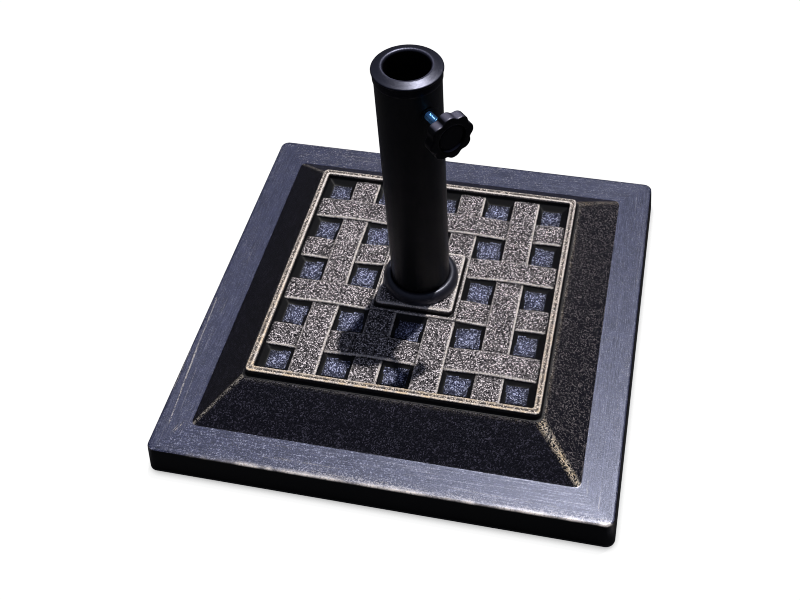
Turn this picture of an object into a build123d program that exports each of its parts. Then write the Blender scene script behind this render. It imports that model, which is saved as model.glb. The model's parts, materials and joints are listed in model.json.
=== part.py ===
from build123d import *
import math
import os

# Square parasol base with a woven panel, a pole tube, a reducer cap and a clamp knob, in millimetres.
# Origin: centre of the footprint on the floor. +Z up, +X along the front edge, +Y front to back.
# Endings: _half is half a side, _r a radius, _t a thickness, _z a height,
# _at a distance from the tube's axis.

# ---------------------------------------------------------------- driving dimensions
gap = 0.1                # clearance between pieces that touch face to face
fine_gap = 0.05          # closer clearance between small fittings

foot_half = 222.5        # footprint, at the foot of the side walls
rim_half = 219.0         # top outer edge of the rim
base_corner_r = 9.0      # vertical corners of the base
inner_corner_r = base_corner_r - 3
shell_z0 = 1.5           # lower edge of the side walls, the rubber feet stand proud of it
rim_z = 35.0             # flat rim
shell_wall = 3.0
rim_under_z = rim_z - shell_wall
skirt_foot_half = 185.5  # where the sloped skirt leaves the rim
skirt_top_half = 144.5   # where the skirt ends, just outside the frame bar
skirt_top_z = 66.5
skirt_corner_r = 5
skirt_inner_corner_r = 3
cavity_top_z = 61.0      # underside of the panel

frame_out_half = 140.3   # raised frame bar round the woven panel
frame_in_half = 134.0
frame_top_z = 74.2
frame_step_z = 69.4      # where the frame's inner face turns into the wider slope of the pockets
pocket_half = frame_in_half - 8
pocket_z = 64.0          # floor of the square pockets
pocket_toe = 5.5         # how far each strip's drafted side runs out at the pocket floor

strip_pitch = 58.7       # woven strips, four each way
strip_half_w = 27.8 / 2
strip_low_z = 67.9       # where a strip dives under its neighbour
strip_high_z = 70.3      # middle of an over-crossing
strip_end = 132.6
strip_end_rise = 0.7     # climb of the short ends towards the frame
strip_at = [-1.5 * strip_pitch, -0.5 * strip_pitch, 0.5 * strip_pitch, 1.5 * strip_pitch]

plinth_half = 42.6       # low plinth under the pad, level with the strips
plinth_z = 70.2
pad_half = 38.6          # centre pad
pad_z = 76.2
pad_corner_r = 4.5
socket_depth = 8.0       # shallow round seat for the tube's foot

tube_r = 28.75           # pole tube
tube_in_r = tube_r - 1.5
tube_z0 = pad_z - socket_depth
tube_z1 = 333.0

plate_z0 = 2.0           # bottom plate
plate_z1 = 5.0
plug_r = 24.0            # access hole in the plate
plug_seat_depth = 1.2
boss_at = 204.0          # screw bosses under the rim
boss_r = 5.0
screw_seat_depth = 1.6
foot_at = 175.0          # rubber feet
foot_r = 16.0
foot_seat_depth = 1.2
foot_stem_hole_r = 3.0

bolt_r = 5.0             # M10 hold-down bolt
bolt_flats = 17          # across the flats of its head and nut
sleeve_r = 8.5           # bolt sleeve under the pad
anchor_z0 = 19.0
anchor_z1 = anchor_z0 + 3.0
washer_z0 = anchor_z0 - 2.0
spring_z0 = washer_z0 - 2.2
bolt_head_z1 = spring_z0 - fine_gap
tube_nut_z0 = tube_z0 + 4.0

screw_angle = math.radians(-44.7)  # direction of the clamp screw about Z, from +X
screw_z = 305.7
screw_r = 4.0            # M8
screw_flats = 13         # across the flats of its head
tip_at = 20.4
screw_at = 23.0
hub_at = 49.2
lobe_at = 54.9
head_at = 55.5
head_end_at = 61.0
cap_seat_at = 61.6
knob_face_at = 63.8
knob_end_at = 65.2

boss_points = [
    (x, y)
    for y in (-boss_at, 0, boss_at)
    for x in (-boss_at, 0, boss_at)
    if x or y
]
foot_points = {
    "foot_pad_front_left": (-foot_at, -foot_at),
    "foot_pad_front_right": (foot_at, -foot_at),
    "foot_pad_rear_left": (-foot_at, foot_at),
    "foot_pad_rear_right": (foot_at, foot_at),
}

# skirt slope, and the horizontal shift that gives the wall thickness square to it
skirt_rise = skirt_top_z - rim_z
skirt_run = skirt_foot_half - skirt_top_half
skirt_shift = shell_wall * math.hypot(skirt_run, skirt_rise) / skirt_rise

screw_dir = Vector(math.cos(screw_angle), math.sin(screw_angle), 0)
screw_side = Vector(-screw_dir.Y, screw_dir.X, 0)


# ---------------------------------------------------------------- helpers
def wall_half(z):
    """Half side of the outer wall at height z."""
    return foot_half + (rim_half - foot_half) * (z - shell_z0) / (rim_z - shell_z0)


def skirt_inner_half(z):
    """Half side of the skirt's inner face at height z."""
    return skirt_foot_half - skirt_shift - (z - rim_z) * skirt_run / skirt_rise


def x_on_top(row, column):
    """Whether the X-running strip lies on top; rows from the front, columns from the left."""
    return (row + column) % 2 == 1


def screw_plane(distance):
    """Plane square to the clamp screw's axis, at a distance from the tube's axis."""
    origin = (screw_dir.X * distance, screw_dir.Y * distance, screw_z)
    return Plane(origin=origin, x_dir=screw_side, z_dir=screw_dir)


def facing_down(points, z):
    """Locations for holes that are cut from below."""
    return [Location((x, y, z), (180, 0, 0)) for x, y in points]


def square(half, corner_r, mode=Mode.ADD):
    """Rounded square in the open sketch."""
    RectangleRounded(2 * half, 2 * half, corner_r, mode=mode)


def ring(outer_r, inner_r):
    """Annulus in the open sketch."""
    Circle(outer_r)
    Circle(inner_r, mode=Mode.SUBTRACT)


def hexagon(across_flats):
    """Hexagon in the open sketch."""
    RegularPolygon(radius=across_flats / math.sqrt(3), side_count=6)


def circles_outwards(builder):
    """Circular edges sorted along +X, so the end nearest the tube comes first."""
    circles = builder.edges().filter_by(GeomType.CIRCLE)
    return circles.sort_by(lambda edge: edge.center().X)


def save(name, part):
    part.label = name
    export_step(part, f"parts/{name}.step")


os.makedirs("parts", exist_ok=True)

# ---------------------------------------------------------------- top shell
with BuildPart() as top_shell:
    # drafted side walls under a flat rim
    with BuildSketch(Plane.XY.offset(shell_z0)):
        square(foot_half, base_corner_r)
    with BuildSketch(Plane.XY.offset(rim_z)):
        square(rim_half, base_corner_r - 1)
    loft()
    fillet(top_shell.edges().group_by(Axis.Z)[-1], radius=2.5)
    fillet(top_shell.edges().group_by(Axis.Z)[0], radius=2.5)
    # sloped skirt, carried 1 mm down into the rim
    with BuildSketch(Plane.XY.offset(rim_z - 1)):
        square(skirt_foot_half + skirt_run / skirt_rise, skirt_corner_r)
    with BuildSketch(Plane.XY.offset(skirt_top_z)):
        square(skirt_top_half, skirt_corner_r)
    loft()
    # raised frame bar with rounded top edges round the sunk panel
    with BuildSketch(Plane.XY.offset(skirt_top_z - 2)):
        square(frame_out_half, 4.5)
    extrude(amount=frame_top_z - skirt_top_z + 2)
    with BuildSketch(Plane.XY.offset(frame_step_z)):
        square(frame_in_half - 0.5, 2)
    with BuildSketch(Plane.XY.offset(frame_top_z)):
        square(frame_in_half, 2)
    loft(mode=Mode.SUBTRACT)
    with BuildSketch(Plane.XY.offset(pocket_z)):
        square(pocket_half, 2)
    with BuildSketch(Plane.XY.offset(frame_step_z)):
        square(frame_in_half - 0.5, 2)
    loft(mode=Mode.SUBTRACT)
    fillet(top_shell.edges().group_by(Axis.Z)[-1], radius=1.6)
    # drafted bodies of the eight strips
    for middle in strip_at:
        for plane in (Plane.XZ, Plane.YZ):
            with BuildSketch(plane):
                with BuildLine():
                    Polyline(
                        (middle - strip_half_w - pocket_toe, pocket_z - 1),
                        (middle - strip_half_w - pocket_toe, pocket_z),
                        (middle - strip_half_w, strip_low_z - 0.4),
                        (middle + strip_half_w, strip_low_z - 0.4),
                        (middle + strip_half_w + pocket_toe, pocket_z),
                        (middle + strip_half_w + pocket_toe, pocket_z - 1),
                        close=True,
                    )
                make_face()
    extrude(amount=strip_end, both=True)
    # arched strip lengths: each rises over one crossing and dips under the next
    strip_root_z = pocket_z + 1
    for i, y in enumerate(strip_at):
        for j, x in enumerate(strip_at):
            if x_on_top(i, j):
                crossing, plane = j, Plane.XZ.offset(-y)
            else:
                crossing, plane = i, Plane.YZ.offset(x)
            middle = strip_at[crossing]
            start = -strip_end if crossing == 0 else middle - strip_pitch + strip_half_w
            end = strip_end if crossing == 3 else middle + strip_pitch - strip_half_w
            with BuildSketch(plane):
                with BuildLine():
                    Polyline(
                        (start, strip_low_z),
                        (start, strip_root_z),
                        (end, strip_root_z),
                        (end, strip_low_z),
                    )
                    Spline((end, strip_low_z), (middle, strip_high_z), (start, strip_low_z))
                make_face()
    extrude(amount=strip_half_w, both=True)
    # short strip ends that come out from under the outer crossings; the weave is symmetric
    # about its diagonal, so row i and column i dive under at opposite crossings
    for i, across in enumerate(strip_at):
        for side, j in ((-1, 0), (1, 3)):
            inner = side * (strip_at[3] + strip_half_w)
            outer = side * strip_end
            plane = Plane.YZ.offset(across) if x_on_top(i, j) else Plane.XZ.offset(-across)
            with BuildSketch(plane):
                with BuildLine():
                    Polyline(
                        (inner, strip_root_z),
                        (inner, strip_low_z),
                        (outer, strip_low_z + strip_end_rise),
                        (outer, strip_root_z),
                        close=True,
                    )
                make_face()
    extrude(amount=strip_half_w, both=True)
    # plinth and pad
    with BuildSketch(Plane.XY.offset(pocket_z - 1)):
        square(plinth_half, pad_corner_r)
    extrude(amount=plinth_z - pocket_z + 1)
    with BuildSketch(Plane.XY.offset(plinth_z - 1)):
        square(pad_half, pad_corner_r)
    extrude(amount=pad_z - plinth_z + 1)
    fillet(top_shell.edges().group_by(Axis.Z)[-1], radius=1.2)
    # hollow inside: under the rim, then under the skirt
    for z in (shell_z0, rim_under_z):
        with BuildSketch(Plane.XY.offset(z)):
            square(wall_half(z) - shell_wall, inner_corner_r)
    loft(mode=Mode.SUBTRACT)
    for z in (rim_under_z - 1, cavity_top_z):
        with BuildSketch(Plane.XY.offset(z)):
            square(skirt_inner_half(z), skirt_inner_corner_r)
    loft(mode=Mode.SUBTRACT)
    # screw bosses under the rim, and the bolt sleeve under the pad
    with BuildSketch(Plane.XY.offset(plate_z1)):
        with Locations(*boss_points):
            Circle(boss_r)
    extrude(amount=rim_under_z - plate_z1 + 1)
    with Locations(*facing_down(boss_points, plate_z1)):
        Hole(radius=1.75, depth=12)
    with BuildSketch(Plane.XY.offset(anchor_z1)):
        Circle(sleeve_r)
    extrude(amount=cavity_top_z - anchor_z1 + 1)
    # seat for the tube's foot, with the bolt hole through the sleeve
    with Locations((0, 0, pad_z)):
        CounterBoreHole(
            radius=5.6, counter_bore_radius=tube_r + gap, counter_bore_depth=socket_depth
        )
save("top_shell", top_shell.part)

# ---------------------------------------------------------------- cement ballast
ballast_lift = 0.3       # vertical clearance to the plate and the shell
ballast_wall_gap = 0.5
ballast_skirt_gap = 0.6

with BuildPart() as ballast_block:
    for z, lift in ((plate_z1, ballast_lift), (rim_under_z, -ballast_lift)):
        with BuildSketch(Plane.XY.offset(z + lift)):
            square(wall_half(z) - shell_wall - ballast_wall_gap, inner_corner_r)
    loft()
    for z, lift in ((rim_under_z - 1, 0), (cavity_top_z, -ballast_lift)):
        with BuildSketch(Plane.XY.offset(z + lift)):
            square(skirt_inner_half(z) - ballast_skirt_gap, skirt_inner_corner_r)
    loft()
    # recess for the anchor plate and the bolt head
    with BuildSketch(Plane.XY.offset(plate_z1)):
        square(48.0, 4)
    extrude(amount=anchor_z1 + gap - plate_z1, mode=Mode.SUBTRACT)
    # room for the bolt sleeve and the shell's screw bosses
    with Locations((0, 0, cavity_top_z)):
        Hole(radius=sleeve_r + 0.3)
    with BuildSketch(Plane.XY.offset(plate_z1)):
        with Locations(*boss_points):
            Circle(boss_r + 0.6)
    extrude(amount=rim_z, mode=Mode.SUBTRACT)
save("ballast_block", ballast_block.part)

# ---------------------------------------------------------------- bottom plate
with BuildPart() as bottom_plate:
    with BuildSketch(Plane.XY.offset(plate_z0)):
        square(wall_half(plate_z1) - shell_wall - 0.4, inner_corner_r)
    extrude(amount=plate_z1 - gap - plate_z0)
    # stiffening groove pressed into the underside
    with BuildSketch(Plane.XY.offset(plate_z0)):
        square(145, 14)
        square(141, 10, mode=Mode.SUBTRACT)
    extrude(amount=1.0, mode=Mode.SUBTRACT)
    # stepped holes from below: access hole, pan-head screws, stems of the rubber feet
    for points, hole_r, seat_r, seat_depth in (
        ([(0, 0)], plug_r, plug_r + 3, plug_seat_depth),
        (boss_points, 2.2, 4.4, screw_seat_depth),
        (foot_points.values(), foot_stem_hole_r, foot_r + 0.2, foot_seat_depth),
    ):
        with Locations(*facing_down(points, plate_z0)):
            CounterBoreHole(
                radius=hole_r, counter_bore_radius=seat_r, counter_bore_depth=seat_depth
            )
save("bottom_plate", bottom_plate.part)

# ---------------------------------------------------------------- self-tapping screws, one group
head_drop = 0.4          # how far the heads stand below the plate

with BuildPart() as bottom_plate_screws:
    with BuildSketch(Plane.XY.offset(plate_z0 - head_drop)):
        with Locations(*boss_points):
            Circle(4.0)
    extrude(amount=head_drop + screw_seat_depth - fine_gap)
    with BuildSketch(Plane.XY.offset(plate_z0 + 1.0)):
        with Locations(*boss_points):
            Circle(1.7)
    extrude(amount=12.0)
    # cross recesses
    with BuildSketch(Plane.XY.offset(plate_z0 - head_drop)):
        with Locations(*boss_points):
            Rectangle(4.2, 0.9)
            Rectangle(0.9, 4.2)
    extrude(amount=1.0, mode=Mode.SUBTRACT)
save("bottom_plate_screws", bottom_plate_screws.part)

# ---------------------------------------------------------------- access plug
with BuildPart() as access_plug:
    with BuildSketch(Plane.XY.offset(plate_z0)):
        Circle(plug_r + 2.8)
    extrude(amount=plug_seat_depth - gap)
    with BuildSketch(Plane.XY.offset(plate_z0 + 1.0)):
        ring(plug_r - 0.2, plug_r - 2.2)
    extrude(amount=3.6)
    # finger slot
    with BuildSketch(Plane.XY.offset(plate_z0)):
        SlotOverall(16, 4)
    extrude(amount=0.6, mode=Mode.SUBTRACT)
save("access_plug", access_plug.part)

# ---------------------------------------------------------------- rubber feet
for name, centre in foot_points.items():
    with BuildPart() as foot_pad:
        with BuildSketch(Plane.XY):
            with Locations(centre):
                Circle(foot_r)
        extrude(amount=plate_z0 + foot_seat_depth - fine_gap)
        chamfer(foot_pad.edges().group_by(Axis.Z)[0], length=0.8)
        # stem through the plate
        with BuildSketch(Plane.XY.offset(plate_z0 + 1)):
            with Locations(centre):
                Circle(foot_stem_hole_r - fine_gap)
        extrude(amount=2.1)
    save(name, foot_pad.part)

# ---------------------------------------------------------------- anchor plate, washers, bolt
with BuildPart() as anchor_plate:
    with BuildSketch(Plane.XY.offset(anchor_z0)):
        square(45, 6)
        Circle(5.5, mode=Mode.SUBTRACT)
    extrude(amount=anchor_z1 - anchor_z0 - fine_gap)
save("anchor_plate", anchor_plate.part)

with BuildPart() as hold_down_washer:
    with BuildSketch(Plane.XY.offset(washer_z0)):
        ring(15, 5.4)
    extrude(amount=anchor_z0 - washer_z0 - fine_gap)
save("hold_down_washer", hold_down_washer.part)

with BuildPart() as spring_washer:
    with BuildSketch(Plane.XY.offset(spring_z0)):
        ring(9.0, 5.2)
        # split
        with Locations(Location((7.2, 0, 0), (0, 0, 20))):
            Rectangle(6, 1.0, mode=Mode.SUBTRACT)
    extrude(amount=washer_z0 - spring_z0 - fine_gap)
save("spring_washer", spring_washer.part)

bolt_head_t = 6.4
with BuildPart() as hold_down_bolt:
    with BuildSketch(Plane.XY.offset(bolt_head_z1 - bolt_head_t)):
        hexagon(bolt_flats)
    extrude(amount=bolt_head_t)
    chamfer(hold_down_bolt.edges().group_by(Axis.Z)[0], length=0.8)
    with BuildSketch(Plane.XY.offset(bolt_head_z1)):
        Circle(bolt_r)
    extrude(amount=70)
    chamfer(hold_down_bolt.edges().group_by(Axis.Z)[-1], length=1.0)
save("hold_down_bolt", hold_down_bolt.part)

# ---------------------------------------------------------------- pole tube
with BuildPart() as stem_tube:
    with BuildSketch(Plane.XY.offset(tube_z0 + fine_gap)):
        ring(tube_r, tube_in_r)
    extrude(amount=tube_z1 - tube_z0 - fine_gap)
    # round hole for the threaded insert
    with BuildSketch(screw_plane(0)):
        Circle(5.5)
    extrude(amount=40, mode=Mode.SUBTRACT)
save("stem_tube", stem_tube.part)

# ---------------------------------------------------------------- disc and nut in the tube's foot
with BuildPart() as tube_end_disc:
    with BuildSketch(Plane.XY.offset(tube_z0 + fine_gap)):
        ring(tube_in_r - fine_gap, 5.4)
    extrude(amount=tube_nut_z0 - tube_z0 - 2 * fine_gap)
save("tube_end_disc", tube_end_disc.part)

with BuildPart() as tube_end_nut:
    with BuildSketch(Plane.XY.offset(tube_nut_z0)):
        hexagon(bolt_flats)
        Circle(bolt_r + 0.06, mode=Mode.SUBTRACT)
    extrude(amount=8.0)
save("tube_end_nut", tube_end_nut.part)

# ---------------------------------------------------------------- cup that centres the pole's foot
cup_r = tube_in_r - 0.15
cup_z0 = tube_nut_z0 + gap
# (radius, height): under the floor, down the outer wall, over the rim, down the funnel
cup_section = [
    (0, 87.0), (24.5, 87.0), (24.5, cup_z0), (cup_r, cup_z0), (cup_r, 118.0),
    (26.2, 118.0), (19.6, 107.0), (19.6, 90.0), (0, 90.0),
]
with BuildPart() as pole_seat_cup:
    with BuildSketch(Plane.XZ):
        with BuildLine():
            Polyline(*cup_section, close=True)
        make_face()
    revolve(axis=Axis.Z)
save("pole_seat_cup", pole_seat_cup.part)

# ---------------------------------------------------------------- half-round trim ring on the pad
collar_r = 37.4
collar_in_r = tube_r + 0.2
collar_z0 = pad_z + fine_gap
collar_z1 = 87.2
# section corners as (radius, height)
collar_foot_in = (collar_in_r, collar_z0)
collar_foot_out = (collar_r - 0.6, collar_z0)
collar_side = (collar_r, pad_z + 1.0)
collar_crown = (collar_r - 5.6, collar_z1)
collar_top_in = (collar_in_r, collar_z1 - 0.9)

with BuildPart() as flange_collar:
    with BuildSketch(Plane.XZ):
        with BuildLine():
            Line(collar_foot_in, collar_foot_out)
            ThreePointArc(collar_foot_out, (collar_r - 0.1, pad_z + 0.3), collar_side)
            ThreePointArc(collar_side, (collar_r - 1.9, collar_z1 - 2.9), collar_crown)
            ThreePointArc(collar_crown, (tube_r + 0.9, collar_z1 - 0.15), collar_top_in)
            Line(collar_top_in, collar_foot_in)
        make_face()
    revolve(axis=Axis.Z)
save("flange_collar", flange_collar.part)

# ---------------------------------------------------------------- reducer cap
cap_bore_r = 19.7        # hole for the pole
cap_flange_r = 30.3
cap_z1 = 338.8           # top of the rounded lip, the highest point
cap_sleeve_z0 = 318.0    # lower end of the cap's sleeves
cap_root_z = 331.0       # top of the hollow between the sleeves
cap_edge_z = 335.9       # widest point of the flange
cap_fit = 0.12           # clearance to the tube's faces
cap_seat_z = tube_z1 + fine_gap
# section corners as (radius, height)
lip_bore = (cap_bore_r, cap_z1 - 2.7)
lip_outer = (cap_bore_r + 3.59, cap_z1 - 0.15)
flange_low = (cap_flange_r, cap_edge_z - 1.6)
flange_high = (cap_flange_r - 0.9, cap_edge_z + 0.6)

with BuildPart() as top_cap:
    # flange, short outer skirt, outer sleeve and bore sleeve as one turned section
    with BuildSketch(Plane.XZ):
        with BuildLine():
            Polyline(
                lip_bore,
                (cap_bore_r, cap_sleeve_z0),
                (cap_bore_r + 2.0, cap_sleeve_z0),
                (cap_bore_r + 2.0, cap_root_z),
                (tube_in_r - 2.1, cap_root_z),
                (tube_in_r - 2.1, cap_sleeve_z0),
                (tube_in_r - cap_fit, cap_sleeve_z0),
                (tube_in_r - cap_fit, cap_seat_z),
                (tube_r + cap_fit, cap_seat_z),
                (tube_r + cap_fit, 327.0),
                (tube_r + 0.45, 326.6),
                (tube_r + 0.75, 329.5),
                flange_low,
            )
            ThreePointArc(flange_low, (cap_flange_r - 0.1, cap_edge_z - 0.1), flange_high)
            Line(flange_high, lip_outer)
            # rounded lip of radius 2.7 round the hole
            ThreePointArc(lip_outer, (cap_bore_r + 1.138, cap_z1 - 0.498), lip_bore)
        make_face()
    revolve(axis=Axis.Z)
    # ribs between the two sleeves
    with BuildSketch(Plane.XY.offset(cap_sleeve_z0 + 1)):
        with PolarLocations(cap_bore_r + 3.8, 6):
            Rectangle(5.6, 1.6)
    extrude(amount=13)
save("top_cap", top_cap.part)

# ---------------------------------------------------------------- threaded rivet insert
insert_at = 21.9
insert_r = 5.4

with BuildPart() as clamp_insert:
    # barrel, folded bulge behind the tube wall, thin flange that follows the tube
    for start, radius, length in (
        (insert_at, insert_r, 7.6),
        (23.9, 6.9, 2.3),
        (27.0, 6.8, 2.7),
    ):
        with BuildSketch(screw_plane(start)):
            Circle(radius)
        extrude(amount=length)
    # room for the tube wall
    with BuildSketch(Plane.XY.offset(screw_z - 12)):
        ring(tube_r + 0.03, 26.4)
    extrude(amount=24, mode=Mode.SUBTRACT)
    # barrel again, through the wall, then its bore
    with BuildSketch(screw_plane(insert_at)):
        Circle(insert_r)
    extrude(amount=7.8)
    with BuildSketch(screw_plane(20)):
        Circle(screw_r + 0.06)
    extrude(amount=14, mode=Mode.SUBTRACT)
save("clamp_insert", clamp_insert.part)

# ---------------------------------------------------------------- clamp screw and its tip
tip_stem_r = 2.0

with BuildPart() as clamp_screw:
    with BuildSketch(screw_plane(screw_at)):
        Circle(screw_r)
    extrude(amount=head_at - screw_at)
    chamfer(circles_outwards(clamp_screw)[0], length=0.8)
    with BuildSketch(screw_plane(head_at)):
        hexagon(screw_flats)
    extrude(amount=head_end_at - head_at)
    # bore for the tip's stem
    with BuildSketch(screw_plane(screw_at)):
        Circle(tip_stem_r + fine_gap)
    extrude(amount=4.6, mode=Mode.SUBTRACT)
save("clamp_screw", clamp_screw.part)

with BuildPart() as thrust_tip:
    with BuildSketch(screw_plane(tip_at)):
        Circle(3.5)
    extrude(amount=screw_at - tip_at - fine_gap)
    chamfer(circles_outwards(thrust_tip)[0], length=0.6)
    with BuildSketch(screw_plane(tip_at + 1)):
        Circle(tip_stem_r)
    extrude(amount=screw_at - tip_at - 1 + 4.4)
save("thrust_tip", thrust_tip.part)

# ---------------------------------------------------------------- lobed knob
knob_r = 20.9            # lobe crests
knob_dip = 2.3           # depth of the valleys between lobes
knob_lobes = 8
knob_phase = math.radians(5.8)
knob_cap_seat_r = 12.9


def knob_outline():
    """Points round the lobes, eight to a lobe."""
    count = knob_lobes * 8
    points = []
    for i in range(count):
        angle = 2 * math.pi * i / count
        wave = 0.5 - 0.5 * math.cos(knob_lobes * (angle - knob_phase))
        radius = knob_r - knob_dip * wave ** 1.6
        points.append((radius * math.cos(angle), radius * math.sin(angle)))
    return points


with BuildPart() as clamp_knob:
    with BuildSketch(screw_plane(lobe_at)):
        with BuildLine():
            Spline(*knob_outline(), periodic=True)
        make_face()
    extrude(amount=knob_end_at - lobe_at)
    # hub towards the tube
    with BuildSketch(screw_plane(hub_at)):
        Circle(7.5)
    extrude(amount=lobe_at - hub_at + 1)
    # ring-shaped hollow in the back of the lobes
    with BuildSketch(screw_plane(lobe_at)):
        ring(15.5, 9.5)
    extrude(amount=4.5, mode=Mode.SUBTRACT)
    # screw hole, hexagon pocket and cap seat
    with BuildSketch(screw_plane(hub_at)):
        Circle(screw_r + fine_gap)
    extrude(amount=20, mode=Mode.SUBTRACT)
    with BuildSketch(screw_plane(head_at - fine_gap)):
        hexagon(screw_flats + 0.1)
    extrude(amount=12, mode=Mode.SUBTRACT)
    with BuildSketch(screw_plane(cap_seat_at)):
        Circle(knob_cap_seat_r)
    extrude(amount=6, mode=Mode.SUBTRACT)
save("clamp_knob", clamp_knob.part)

# ---------------------------------------------------------------- cap in the knob's face
with BuildPart() as knob_cap:
    with BuildSketch(screw_plane(cap_seat_at + fine_gap)):
        Circle(knob_cap_seat_r - gap)
    extrude(amount=0.9)
    with BuildSketch(screw_plane(cap_seat_at + 0.5)):
        Circle(11.5)
    extrude(amount=knob_face_at - cap_seat_at - 0.5)
    fillet(circles_outwards(knob_cap)[-1], radius=0.8)
save("knob_cap", knob_cap.part)
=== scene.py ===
import bpy
import json
import math
import numpy as np
from mathutils import Matrix, Vector


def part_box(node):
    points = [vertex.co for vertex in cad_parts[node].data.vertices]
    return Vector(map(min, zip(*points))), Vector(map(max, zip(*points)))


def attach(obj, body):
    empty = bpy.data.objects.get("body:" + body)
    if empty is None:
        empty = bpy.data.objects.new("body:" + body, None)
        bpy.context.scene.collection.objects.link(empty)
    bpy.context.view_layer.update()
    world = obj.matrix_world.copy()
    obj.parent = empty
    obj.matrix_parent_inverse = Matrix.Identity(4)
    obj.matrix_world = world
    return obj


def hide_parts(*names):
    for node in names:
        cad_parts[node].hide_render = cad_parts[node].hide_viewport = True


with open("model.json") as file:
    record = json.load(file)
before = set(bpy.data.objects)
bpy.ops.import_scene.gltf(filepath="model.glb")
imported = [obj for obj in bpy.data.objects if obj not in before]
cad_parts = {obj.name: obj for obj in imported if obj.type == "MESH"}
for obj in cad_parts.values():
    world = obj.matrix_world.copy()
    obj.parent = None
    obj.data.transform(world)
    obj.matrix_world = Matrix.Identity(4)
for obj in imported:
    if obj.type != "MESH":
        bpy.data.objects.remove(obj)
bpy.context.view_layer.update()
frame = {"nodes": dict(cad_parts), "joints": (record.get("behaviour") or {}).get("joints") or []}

MM = 0.001
scene = bpy.context.scene


# ------------------------------------------------------------------ mesh helpers (all lengths in mm)
def make_object(name, verts, faces, materials, smooth_angle=38.0, mat_index=None, merge=None):
    mesh = bpy.data.meshes.new(name)
    mesh.from_pydata([tuple(v) for v in (np.asarray(verts, float) * MM)], [], [tuple(int(i) for i in f) for f in faces])
    for m in materials:
        mesh.materials.append(m)
    if mat_index is not None:
        mesh.polygons.foreach_set("material_index", np.asarray(mat_index, np.int32))
    mesh.update()
    obj = bpy.data.objects.new(name, mesh)
    scene.collection.objects.link(obj)
    if merge:
        import bmesh
        bm = bmesh.new()
        bm.from_mesh(mesh)
        bmesh.ops.remove_doubles(bm, verts=bm.verts, dist=merge * MM)
        bmesh.ops.dissolve_degenerate(bm, edges=bm.edges, dist=merge * MM)
        bmesh.ops.recalc_face_normals(bm, faces=bm.faces)
        bm.to_mesh(mesh)
        bm.free()
        mesh.update()
    mesh.shade_smooth()
    mesh.set_sharp_from_angle(angle=math.radians(smooth_angle))
    return obj


def quads_between(a, b, n, flip=False):
    """Quads joining ring start index a to ring start index b, both of n nodes."""
    out = []
    for i in range(n):
        j = (i + 1) % n
        q = (a + i, b + i, b + j, a + j)
        out.append(q[::-1] if flip else q)
    return out


def lathe(profile, n=128, axis_origin=(0, 0, 0), frame3=None, close=True):
    """Turns (r, z) points about the local z axis; frame3 is (x_dir, y_dir, z_dir). Points at r = 0 become poles."""
    if frame3 is None:
        frame3 = (np.array([1.0, 0, 0]), np.array([0, 1.0, 0]), np.array([0, 0, 1.0]))
    ex, ey, ez = frame3
    o = np.asarray(axis_origin, float)
    t = np.linspace(0, 2 * np.pi, n, endpoint=False)
    verts, starts = [], []
    for r, z in profile:
        starts.append(len(verts))
        if r < 1e-6:
            verts.append(o + ez * z)
        else:
            for a in t:
                verts.append(o + ex * r * math.cos(a) + ey * r * math.sin(a) + ez * z)
    faces = []
    m = len(profile)
    pairs = [(k, k + 1) for k in range(m - 1)] + ([(m - 1, 0)] if close else [])
    for k, l in pairs:
        rk, rl = profile[k][0], profile[l][0]
        if rk < 1e-6 and rl < 1e-6:
            continue
        if rk < 1e-6:
            faces += [(starts[k], starts[l] + (i + 1) % n, starts[l] + i) for i in range(n)]
        elif rl < 1e-6:
            faces += [(starts[k] + i, starts[k] + (i + 1) % n, starts[l]) for i in range(n)]
        else:
            faces += [(starts[k] + i, starts[k] + (i + 1) % n, starts[l] + (i + 1) % n, starts[l] + i) for i in range(n)]
    return np.array(verts), faces


def arc(cx, cz, r, a0, a1, n):
    """n + 1 points of an arc in the (r, z) plane, angles in degrees."""
    return [(cx + r * math.cos(math.radians(a0 + (a1 - a0) * i / n)), cz + r * math.sin(math.radians(a0 + (a1 - a0) * i / n))) for i in range(n + 1)]


def smoothstep(a, b, x):
    t = np.clip((x - a) / (b - a), 0, 1)
    return t * t * (3 - 2 * t)


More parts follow.
